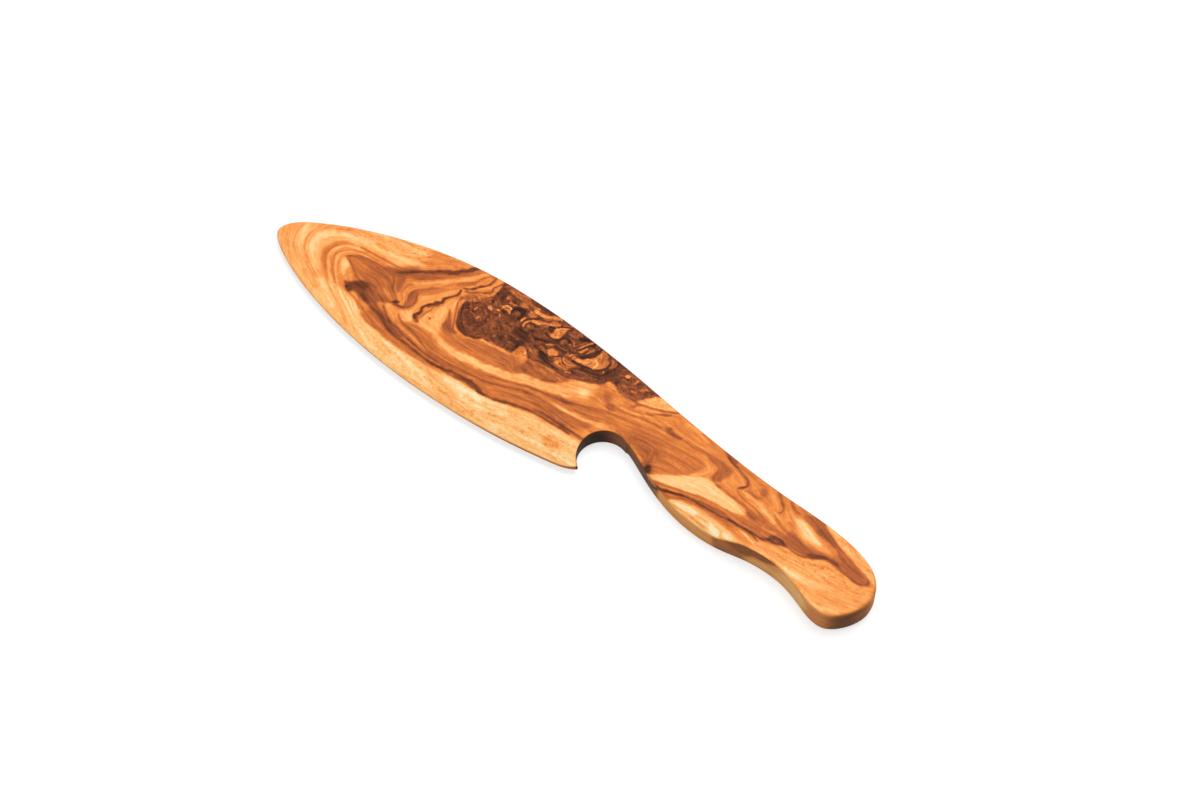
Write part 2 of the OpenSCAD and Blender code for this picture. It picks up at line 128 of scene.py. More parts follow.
HEART = [
    # amber heart behind the rings
    area(0.43, 0.5, (21.9, 4.7, 23.2, 5.7, 25, 6.9, 28, 7.5, 32, 7.9, 36.5, 8.2, 39, 6, 41, 3, 43.6, 1.2,
        41, 0.2, 37, 0.2, 33, 0.9, 30, 0.4, 28.4, 1.3, 26.2, 2.9, 24, 4)),
    area(0.5, 0.8, (23.5, 5, 26, 6.2, 29, 6, 31, 4.5, 29, 3.2, 26, 3.8), 0.8),
    line(0.37, 0.5, (30, 5.6, 34, 5.4, 37, 6), 0.7, 0.7),
    line(0.37, 0.4, (31, 2.8, 34, 3.4, 36, 2.4), 0.7, 0.5),
    line(0.5, 0.4, (35, 4.6, 37, 3.8, 38.6, 2.6), 0.5, 0.8),
    line(0.62, (0.4, 0.6), (37.5, 2.8, 39.5, 1.9, 41.4, 1.1, 42.8, 0.8), 0.4, 0.9, 0.2),
    line(0.28, 0.28, (21.6, 4.6, 22.8, 5.5, 24.2, 6.7, 26.5, 7.4, 29, 7.7, 32, 8, 35, 8.1,
        37, 8.6), 0.3, 0.95),
    line(0.36, 0.22, (23.5, 4.6, 25.3, 3.5, 27, 2.3, 28.8, 1.1, 30, 0.5), 0.3, 0.8),
    # brown under the heart, and the dark knot
    area(0.33, 0.7, (31, 0.6, 34, 1.2, 38, 0.4, 42.4, 0.2, 41.6, -1, 39.6, -2.2, 42, -4, 40, -4.6, 36, -3.8,
        33, -2.6)),
    area(0.2, 0.7, (27.2, -1.9, 28.8, -1.2, 30.2, 0.2, 31.4, 1.2, 33, 1.5, 34.6, 0.9, 33.8, -0.6,
        34.8, -1.7, 36.6, -2.6, 38, -3.6, 36.8, -4.1, 35.2, -3.7, 33.4, -3.4, 31.7, -2.9, 30.8, -4,
        29.4, -3.9, 28.2, -3)),
    line(0.3, 0.3, (30.6, -2.3, 32.4, -1.8, 34, -1.8), 0.5, 0.6),
    line(0.13, 0.4, (33.6, -2.4, 35, -3, 36.6, -3.6), 0.6, 0.8),
    line(0.2, 0.25, (32, 1, 34, 1.4, 36.4, 1.2), 0.4, 0.7),
    area(0.0, 0.25, (28.7, -2.7, 29.2, -2.6, 29.4, -3, 29, -3.3, 28.6, -3.1)),
    line(0.75, 0.2, (31, -3.2, 32.6, -4, 34.6, -4.9, 36.4, -6.2), 0.25, 0.9),
    line(0.5, 0.25, (31, -4.4, 33, -4.6, 35, -5.4, 36.8, -6.8), 0.3, 0.7),
    line(0.3, 0.25, (34.5, -4.6, 36.4, -5.6, 38, -6.2), 0.35, 0.8),
    # amber bands that rise to the spine
    area(0.4, 0.9, (38, 9, 40, 10, 43, 12.4, 47, 15.4, 51, 18.3, 54.6, 21.6, 56.6, 23.8, 57.8, 23.8,
        56.4, 21.4, 53, 17.6, 49, 14.2, 45, 11.2, 42.4, 8.4, 42.4, 5, 41, 3.4, 39.4, 4.8)),
    area(0.55, 0.9, (40.4, 9.4, 43, 10.4, 45, 9.5, 43.6, 6, 44.6, 3.6, 46, 1.6, 44.6, 1.6, 42.2, 4.4,
        41.4, 7)),
    line(0.36, 0.35, (40.2, 8.6, 40.6, 7, 41.8, 5.2, 42.2, 3.8), 0.5, 0.8),
    line(0.69, (0.7, 1.0), (43, 8.2, 45.4, 10, 48, 12.2, 50.6, 15, 53.2, 17.8, 55.6, 20.4, 57.4, 22.6,
        58.4, 24), 0.7, 1.0, 0.08),
    line(0.66, (0.4, 0.3), (43.4, 6.6, 43.4, 4.8, 44.6, 3.4, 45.8, 1.9), 0.35, 0.9),
    line(0.78, 0.3, (49.6, 13, 51.6, 15.2, 53.4, 17.2), 0.5, 0.6),
    # dark line that parts the spine's sapwood from the heart
    line(0.33, (0.8, 1.3), (38.6, 9.4, 41.4, 11.3, 45, 14.1, 49, 17, 52, 19.6, 54.2, 22,
        55.8, 24), 1.0, 0.75, 0.06),
    area(0.33, 1.0, (33.6, 8.2, 35.6, 9.6, 38, 11.6, 40.4, 13.4, 42, 12.8, 40.2, 9.2, 38, 7.4), 0.85),
    line(0.12, (0.5, 0.75), (36.6, 8.3, 38, 9.7, 40, 11.2, 43, 13.5, 45.6, 15.6, 48, 17.2, 50.4, 18.8,
        52.2, 20.6, 53.6, 22.4, 54.8, 24), 0.4, 0.95, 0.05),
    line(0.4, 0.3, (22.5, 9.4, 26, 9.9, 30, 10.1, 34, 10.4, 37.4, 10.5, 39.4, 11), 0.35, 0.9),
    line(0.75, 0.25, (26, 9.3, 30, 9.4, 33, 9.5, 36, 9.4), 0.3, 0.7),
    line(0.34, 0.2, (33, 9, 36, 9.1, 38, 9.8), 0.3, 0.7),
    # spine sapwood over the dark line
    line(0.84, (0.9, 0.5), (30, 12.7, 34, 13, 38, 14.1, 41, 15, 43, 15.6), 0.8, 0.8),
    line(0.56, 0.2, (34, 14.3, 36.4, 15, 39, 16.4, 41, 18.2, 43, 20, 46, 21.2, 49, 22.2), 0.3, 0.75),
    line(0.58, 0.7, (46.5, 22.2, 49, 22.6, 51.5, 23), 0.7, 0.7),
    line(0.62, 0.4, (42, 14.4, 45, 16.6, 48, 18.4, 50.6, 20.4), 0.6, 0.6),
    # brown S band and the bright bands beside it
    area(0.42, 0.5, (59.6, 24, 57.6, 21.4, 56.6, 19, 54.2, 16.7, 52.9, 14.5, 51, 12.4, 48.6, 11, 47.6, 9.6,
        45.4, 7.6, 44.6, 6, 44.8, 4.5, 45.8, 2.9, 46, 1.2, 44.4, 0.4, 46.5, 0.3, 47.7, 1.5, 48.2, 3,
        48, 4.6, 47.2, 6, 47.4, 7, 48.7, 8.8, 50.6, 11, 52, 13, 53.6, 15, 55.6, 16.4, 57.4, 18, 58.2, 20,
        60.4, 23)),
    line(0.26, (0.25, 0.45), (46.6, 7, 47.2, 5.6, 48, 4.4, 48.1, 3, 47.5, 1.6, 46.2, 0.6, 44.6, 0.4,
        43.2, -0.2), 0.35, 0.9),
    line(0.3, 0.25, (45, 6.6, 44.8, 4.8, 45.8, 3, 46.2, 1.6), 0.3, 0.7),
    line(0.33, 0.2, (59.4, 23.6, 57.8, 21.4, 56.8, 19.2, 54.4, 16.8, 53.2, 15), 0.3, 0.8),
    line(0.5, 0.35, (50.4, 11.6, 48.8, 9.6, 46.4, 7), 0.5, 0.6),
    line(0.25, 0.2, (36.4, 8.2, 38, 7, 39, 5.4, 39.8, 4, 41.4, 3, 43, 2, 44, 1.3), 0.3, 0.9),
    area(0.12, 0.4, (43.2, 1.5, 44.3, 1.7, 44.6, 0.9, 43.6, 0.3, 42.4, 0, 42.8, 0.6)),
    area(0.68, 0.5, (57.2, 18, 55.4, 15.4, 53.4, 13, 51.6, 10, 49.8, 8, 48, 6.6, 48.6, 4.4, 48.8, 2,
        48.6, 0.9, 50.6, 0.9, 50.8, 3, 50.8, 5, 52.2, 7, 53.6, 8.6, 54, 11, 55, 13, 56, 15, 58.4, 17)),
    area(0.74, 0.35, (46, -0.8, 47.6, 0, 49.4, 0.9, 50.7, 0.2, 51.2, -1, 50.8, -2.2, 49.3, -2.9, 47.6, -2.1)),
    area(0.72, 0.6, (56, 11.3, 57.4, 11, 58, 8, 58.6, 5, 59.2, 2.6, 60.4, 0.8, 59.6, -1, 56, -1.4,
        53.2, -0.6, 52.6, 1.2, 53.6, 3.2, 54.4, 5.6, 55, 8, 55.2, 10)),
    line(0.8, 0.7, (55.4, 8, 55.8, 5.6, 56.4, 3, 57, 0.8), 0.8, 0.6),
    line(0.36, 0.35, (52.6, 6.2, 53.2, 4.8, 52.6, 3.2, 52.6, 1.6, 52.4, 0.2, 53.2, -0.8), 0.5, 0.8),
    line(0.07, 0.46, (55.2, 15.2, 55.7, 14, 55.8, 12.8, 55, 11.6, 54.2, 10.4, 53.8, 9.4, 54.2, 8.4, 53, 7.5,
        52.5, 6.6, 51.7, 5.8, 51, 4.7, 50.8, 3.6, 51.3, 2.7, 51.2, 1.7, 50.9, 0.8, 51.2, 0,
        51.8, -0.8), 0.3, 0.97, 0.04),
    line(0.1, 0.75, (53.8, 7.8, 53, 7, 52.2, 5.8, 51.6, 4.6), 0.4, 0.8),
    line(0.13, 0.5, (51.4, 0.6, 52, -0.4, 53, -0.8), 0.4, 0.8),
    area(0.34, 0.35, (54.4, 2.3, 54.9, 2.4, 55.2, 1.9, 54.8, 1.6)),
    line(0.55, 0.2, (55, 3.2, 55.6, 3.2), 0.3, 0.6),
    # dark lines from the spine to the eye
    line(0.67, 0.5, (62.6, 24.4, 61.9, 22.6, 61.7, 20.8, 61.8, 19.4), 0.4),
    line(0.66, 0.6, (60, 23.4, 59.2, 21.8, 58.4, 20, 57.6, 18.6), 0.4),
    line(0.6, 0.35, (61.6, 18.8, 60, 17.9, 58.4, 16.9), 0.35, 0.8),
    line(0.56, 0.3, (63.4, 22.6, 63.3, 21, 63.4, 19.8), 0.3, 0.8),
    line(0.17, 0.38, (61, 24.6, 60.8, 22.8, 60.8, 21.5, 60.4, 20.5, 59.8, 19.6, 59, 18.8, 58.4, 17.9,
        57.8, 17.2, 57.1, 16.5, 56.4, 16, 55.4, 15.4), 0.26, 1.0, 0.05),
    line(0.12, 0.36, (58.6, 17.9, 58, 17.3, 57.4, 16.8), 0.3, 0.9),
    line(0.22, (0.22, 0.3), (64.2, 24.2, 63.3, 22.8, 62.8, 21.8, 62.5, 20.8, 62.6, 20, 62.9, 19.4,
        62.5, 18.7, 61.9, 18.2, 61, 17.7, 60.1, 17.1, 59.2, 16.5, 58.2, 15.8, 57.2, 15.4,
        56.2, 15), 0.22, 0.95, 0.05),
    line(0.18, 0.3, (62.5, 20.4, 62.7, 19.7, 62.6, 19), 0.25, 0.8),
    line(0.33, 0.2, (60.4, 15.6, 59, 15.2, 57.8, 14.9), 0.25, 0.8),
    line(0.52, 0.25, (58.6, 15.5, 57.8, 14.5, 57.2, 13.8), 0.25, 0.8),
]

LOWER_BANDS = [
    # amber under the eye, then the bright band, then the dark bundle
    area(0.46, 0.9, (59, 3, 62, 2, 66, 2.2, 70, 4, 76, 5.4, 82, 6.2, 85, 5, 84, 1.6, 80, 0.2, 74, -0.8,
        68, -1.3, 63, -1, 60, 0.4)),
    area(0.4, 1.2, (73, 4.4, 78, 5.2, 82, 5, 84, 3, 80, 2, 75, 2.6), 0.8),
    line(0.55, 0.6, (62, 0.2, 66, 0, 71, 0.2, 76, 0.6, 80, 1.2), 0.8, 0.7),
    line(0.5, 0.6, (82, 5.8, 83, 4, 84, 2.6), 0.8, 0.7),
    area(0.37, 0.5, (57, 7.9, 58.6, 6.8, 60, 5, 61.8, 3.6, 64, 2.8, 63.4, 1.8, 61, 1.6, 59.2, 2.4,
        58.6, 4.6, 57.8, 6.4)),
    area(0.47, 1.0, (50.6, -2.9, 54, -1.9, 58, -1.6, 60.6, -2.8, 64, -4.4, 70, -3.9, 76, -3, 82, -2.2,
        88, -0.6, 95, 2, 104, 4.6, 112, 5.4, 112, 2, 108, -2.6, 98, -4.6, 88, -6.6, 82, -8, 70, -8.4,
        60, -9.8, 50, -9.7, 42, -8.6, 38, -7.4, 40, -4.6, 44, -4)),
    line(0.76, (0.5, 1.1), (52.6, -1.4, 55, -0.9, 58, -0.8, 60.6, -1.4, 63, -2.4, 66, -2.5, 70, -2.4,
        74, -2, 78, -1.4), 0.5, 1.0, 0.08),
    line(0.76, (1.1, 1.3), (76, -1.8, 80, -0.9, 84, 0, 87, 1.3, 90, 2.2, 94, 3.3, 98, 4.6,
        102, 6.2), 0.5, 1.0, 0.05),
    line(0.83, 0.5, (61, -2.4, 65, -2.8, 69, -2.6, 73, -2.2, 77, -1.6, 81, -0.8), 0.6, 0.7),
    line(0.6, 0.12, (60, -0.3, 63, -1, 66, -1.3, 69, -1.3, 72, -0.9), 0.25, 0.8),
    line(0.68, (0.6, 0.3), (41.6, -1.1, 43.4, -2.1, 45.6, -3.3, 48, -4.2, 51, -4.9, 54, -5.3, 57.4, -5.8,
        61, -6.3), 0.35, 0.95, 0.06),
    line(0.3, 0.3, (46.2, -1, 47.4, -2.3, 49.4, -3.3, 52, -3.7, 55, -4.4, 58, -5.3, 60.4, -6, 64, -6.3,
        68, -6.2), 0.3, 0.85),
    line(0.6, 0.2, (51, -3, 54, -2.8, 57, -2.9, 59.6, -3.8, 63, -4.9, 67, -4.7), 0.3, 0.7),
    line(0.38, 0.2, (50.6, -3.4, 53, -2.2, 56, -2.1, 58.4, -2.6), 0.3, 0.7),
    line(0.38, 0.2, (56, -3.8, 59, -4.4, 62, -5.2, 66, -5.4, 70, -5), 0.3, 0.6),
    line(0.64, 0.2, (58, -5, 61, -5.8, 64, -5.9, 67, -5.8, 71, -5.4), 0.25, 0.8),
    line(0.26, (0.4, 0.25), (41, -1.6, 42.6, -2.9, 45, -4.4, 47.6, -5.4, 51, -6, 55, -6.7, 58, -7.1,
        61, -7.6, 65, -7.5, 69, -7.2), 0.35, 0.9, 0.06),
    area(0.25, 0.6, (38, -4.2, 42, -3.6, 45, -4.8, 49, -6, 53, -7, 50, -7.9, 46, -6.6, 42, -5.4), 0.9),
    line(0.16, (0.3, 0.4), (38.4, -4.6, 41.6, -4.9, 44.4, -5.9, 47, -6.9, 49.4, -7.6, 52.4, -7.9, 55.4, -8,
        58.4, -8.5, 62, -8.8, 66, -8.8), 0.35, 0.92, 0.06),
    line(0.5, 0.3, (40, -6, 43, -7, 47, -8.2, 52, -8.8, 58, -9.2, 64, -9.4), 0.4, 0.7),
    line(0.37, 0.18, (37.4, -7, 39.6, -8.2, 42.6, -8.8, 46, -9.1, 50, -9.7, 55, -9.9, 61, -9.9,
        67, -9.7), 0.3, 0.7),
    # dark bundle, on to the notch
    line(0.3, 0.3, (66, -6.2, 70, -6.1, 74, -5.7, 78, -5.1, 81, -4.6, 83.4, -3.8, 86, -2.8, 89, -1.7,
        92, -0.9, 96, -0.1), 0.3, 0.9),
    line(0.32, (0.3, 0.55), (79, -3, 81.6, -2.5, 84, -1.7, 87, -0.6, 90, 0.3, 93, 1.1, 97, 2.1, 100, 2.7,
        103, 3.4), 0.4, 0.9),
    line(0.55, 0.25, (72, -4.4, 77, -3.8, 81, -3.4, 85, -2.1, 89, -0.8, 93, 0.2), 0.3, 0.7),
    line(0.4, 0.2, (70, -4.8, 75, -4.4, 79, -3.9, 82, -3.2), 0.3, 0.7),
    line(0.58, 0.3, (74, -6.4, 78, -6, 81.6, -5.6, 85, -4.4, 88.4, -3.2, 92, -2.2), 0.35, 0.7),
    line(0.36, 0.2, (83, -5.6, 86, -4.4, 89, -3.8, 92, -3, 95, -2.5, 98, -2.4, 102, -2.7,
        107, -2.6), 0.3, 0.8),
    line(0.55, 0.6, (82.6, -7, 85.6, -6.3, 89, -5.2, 93, -4), 0.5, 0.7),
    line(0.38, 0.4, (64, -7.2, 68, -7.2, 72, -7, 77, -7, 80.6, -7), 0.4, 0.8),
    line(0.14, (0.25, 0.75), (62, -8.8, 65, -8.7, 68, -8.4, 70.6, -7.9, 73.6, -7.6, 76.6, -7.5, 79.6, -7.7,
        81.6, -7.8), 0.35, 0.95, 0.06),
    line(0.17, (0.45, 0.25), (79.4, -8.2, 82, -8.2, 84.6, -7.9, 87, -7.2, 89.4, -6.4, 92, -5.6, 95, -5,
        99, -4.5, 104, -4.3, 109, -4), 0.3, 0.92, 0.05),
    line(0.25, 0.2, (69, -8.8, 71.6, -8.7, 74, -8.3, 76.4, -8.1), 0.3, 0.8),
    line(0.42, 0.6, (95, -1.3, 100, -1.3, 106, -1.4, 112, -1.4), 0.7, 0.9),
    line(0.3, 0.2, (94, -2.7, 97, -2.3, 100, -2.6, 103, -2.8), 0.25, 0.9),
    line(0.13, (0.25, 0.4), (95.6, -4, 98.6, -3.6, 102, -3.4, 105.4, -3.4, 109, -3.35,
        113, -3.2), 0.3, 0.95, 0.03),
    line(0.36, 0.2, (100, -0.4, 104, -0.5, 108, -0.2, 112, 0.6), 0.4, 0.6),
    # bright strip to the top of the notch
    line(0.62, 0.4, (93, 0.5, 97, 0.6, 101, 0.7), 0.5, 0.7),
    line(0.74, (0.35, 0.7), (99, 0.4, 103, 0.8, 107, 1.2, 110.6, 1.8, 113.6, 2.8, 116.4, 3.7,
        119.4, 4), 0.45, 1.0, 0.1),
    line(0.35, 0.5, (98, 2.2, 101, 2.9, 104, 3.9, 108, 5.2, 112, 6.3, 116, 7.4, 120, 8.4), 0.6, 0.9),
    line(0.28, 0.3, (99.6, 2.8, 101, 3, 102.6, 3.2), 0.4, 0.8),
    line(0.54, 0.3, (103, 3.2, 107, 4, 111, 4.6, 116, 5.4, 121, 5.6), 0.4, 0.7),
    line(0.4, 0.3, (104, 2.2, 108, 2.9, 112, 4), 0.4, 0.7),
]

SAP = [
    # cream sapwood along the cutting edge
    area(0.8, 0.7, (25, -4.4, 29, -4.6, 33, -5.2, 36.4, -6.6, 38.6, -8, 42, -9, 46, -9.3, 50, -9.9,
        56, -10.1, 62, -10.1, 67, -9.9, 70, -9.2, 74, -8.9, 79, -8.8, 82, -8.8, 86, -8.1, 90, -6.7,
        94, -5.7, 98, -5.1, 103, -4.8, 108, -4.6, 113.4, -4.3, 116, -9, 115, -13, 108, -15, 90, -19,
        60, -19, 40, -18, 26, -13, 22, -9)),
    area(0.74, 1.0, (38, -14, 36, -11, 29, -6.6, 22, -4, 20, -6, 26, -10, 32, -14), 0.7),
    line(0.9, 0.5, (27, -4.4, 30, -6, 34, -8, 38, -10.2, 42, -12, 46, -13.6, 51, -14.4), 0.5, 0.8),
    line(0.95, 0.25, (31, -5.2, 35, -7.4, 39, -9.8, 42, -11.6, 45, -13), 0.3, 0.8),
    line(0.93, 0.25, (34.4, -6, 37, -8, 40, -9.8, 44, -11.4, 48, -12.2), 0.3, 0.8),
    line(0.62, 0.3, (27, -6.4, 30, -8.4, 33, -10.4, 36, -12, 39, -13.4, 41, -14), 0.35, 0.8),
    line(0.66, 0.18, (30, -6.6, 34, -9, 38, -11.4, 42, -13.2), 0.25, 0.7),
    line(0.68, 0.15, (29.4, -5, 33, -6.8, 37, -9.2, 41, -11.2, 45, -12.4), 0.2, 0.6),
    line(0.88, 0.7, (20, -5.2, 22.6, -6, 26, -7.8, 29, -9.4, 31, -10.4), 0.6, 0.8),
    line(0.94, 0.6, (48, -10.6, 52, -11, 56, -11.6, 60, -12.4, 66, -12.6), 0.7, 0.7),
    line(0.92, 0.8, (52, -13.2, 58, -13.6, 64, -14, 70, -14.4), 0.9, 0.6),
    line(0.74, 0.7, (46, -11, 50, -12.4, 54, -12.6), 0.8, 0.5),
    line(0.74, 0.4, (60, -10.8, 65, -11.2, 70, -11.6, 74, -12), 0.6, 0.6),
    line(0.95, 0.8, (70, -10.6, 74, -10.6, 79, -10, 84, -9.8), 0.8, 0.8),
    line(0.94, 0.7, (76, -12, 80, -12.2, 84, -11.6, 88, -10.2, 92, -9), 0.8, 0.8),
    line(0.95, 0.5, (78, -9.4, 82, -9.3, 86, -8.6, 90, -7.4), 0.6, 0.7),
    line(0.72, 0.4, (66, -13, 72, -13.2, 76, -13.2, 82, -13), 0.6, 0.6),
    line(0.68, 0.6, (64, -15.8, 72, -15.9, 80, -15.2, 86, -14.6), 0.6, 0.7),
    line(0.7, 0.5, (84, -12.6, 90, -11.4, 95, -10.6, 101, -10.4), 0.6, 0.6),
    line(0.9, 0.6, (88, -13.8, 94, -12.6, 100, -11.8, 106, -11), 0.6, 0.6),
    line(0.9, 0.6, (94, -7.4, 98, -6.6, 103, -6.2, 107, -6.2), 0.7, 0.7),
    line(0.68, 0.5, (90, -7.4, 94, -6.6, 98, -5.8, 104, -5.4), 0.5, 0.5),
    area(0.63, 0.9, (103, -8.8, 105, -7.6, 108, -7.8, 108, -9.4, 105, -10.2), 0.9),
    line(0.7, 0.4, (98, -8.6, 103, -8.8, 108, -8.4, 112, -8), 0.6, 0.6),
    line(0.92, 0.7, (107.6, -11, 110, -10.4, 113, -10.4, 115, -10.2), 0.6, 0.8),
    line(0.88, 0.5, (108, -6.8, 111, -6.4, 113, -6.6), 0.6, 0.6),
    line(0.68, 0.3, (98, -13.4, 104, -12.4, 110, -11.8), 0.4, 0.6),
    # fine lines and orange streaks towards the edge
    line(0.66, 0.12, (24, -4, 28, -5.8, 32, -7.8, 36, -9.6, 40, -11.2), 0.15, 0.8),
    line(0.64, 0.12, (26, -3.6, 30, -5.4, 34, -7.4, 38, -9.2, 42, -10.6), 0.15, 0.8),
    line(0.66, 0.1, (30, -4.6, 34, -6.6, 37, -8.2, 41, -9.8), 0.14, 0.8),
    line(0.63, 0.14, (20, -3.2, 24, -5.4, 28, -7.4, 32, -9.2), 0.2, 0.7),
    line(0.66, 0.3, (70, -13.6, 75, -14.2, 80, -14.4, 84, -14), 0.35, 0.8),
    line(0.62, 0.2, (76, -15, 80, -15.1, 84, -14.8, 87, -14.4), 0.25, 0.8),
    line(0.68, 0.25, (62, -11, 66, -11.6, 70, -12.2), 0.3, 0.7),
    line(0.66, 0.2, (86, -9, 90, -8.4, 94, -7.4), 0.25, 0.7),
    line(0.7, 0.2, (78, -11.6, 83, -11.2, 88, -10.2), 0.25, 0.7),
]

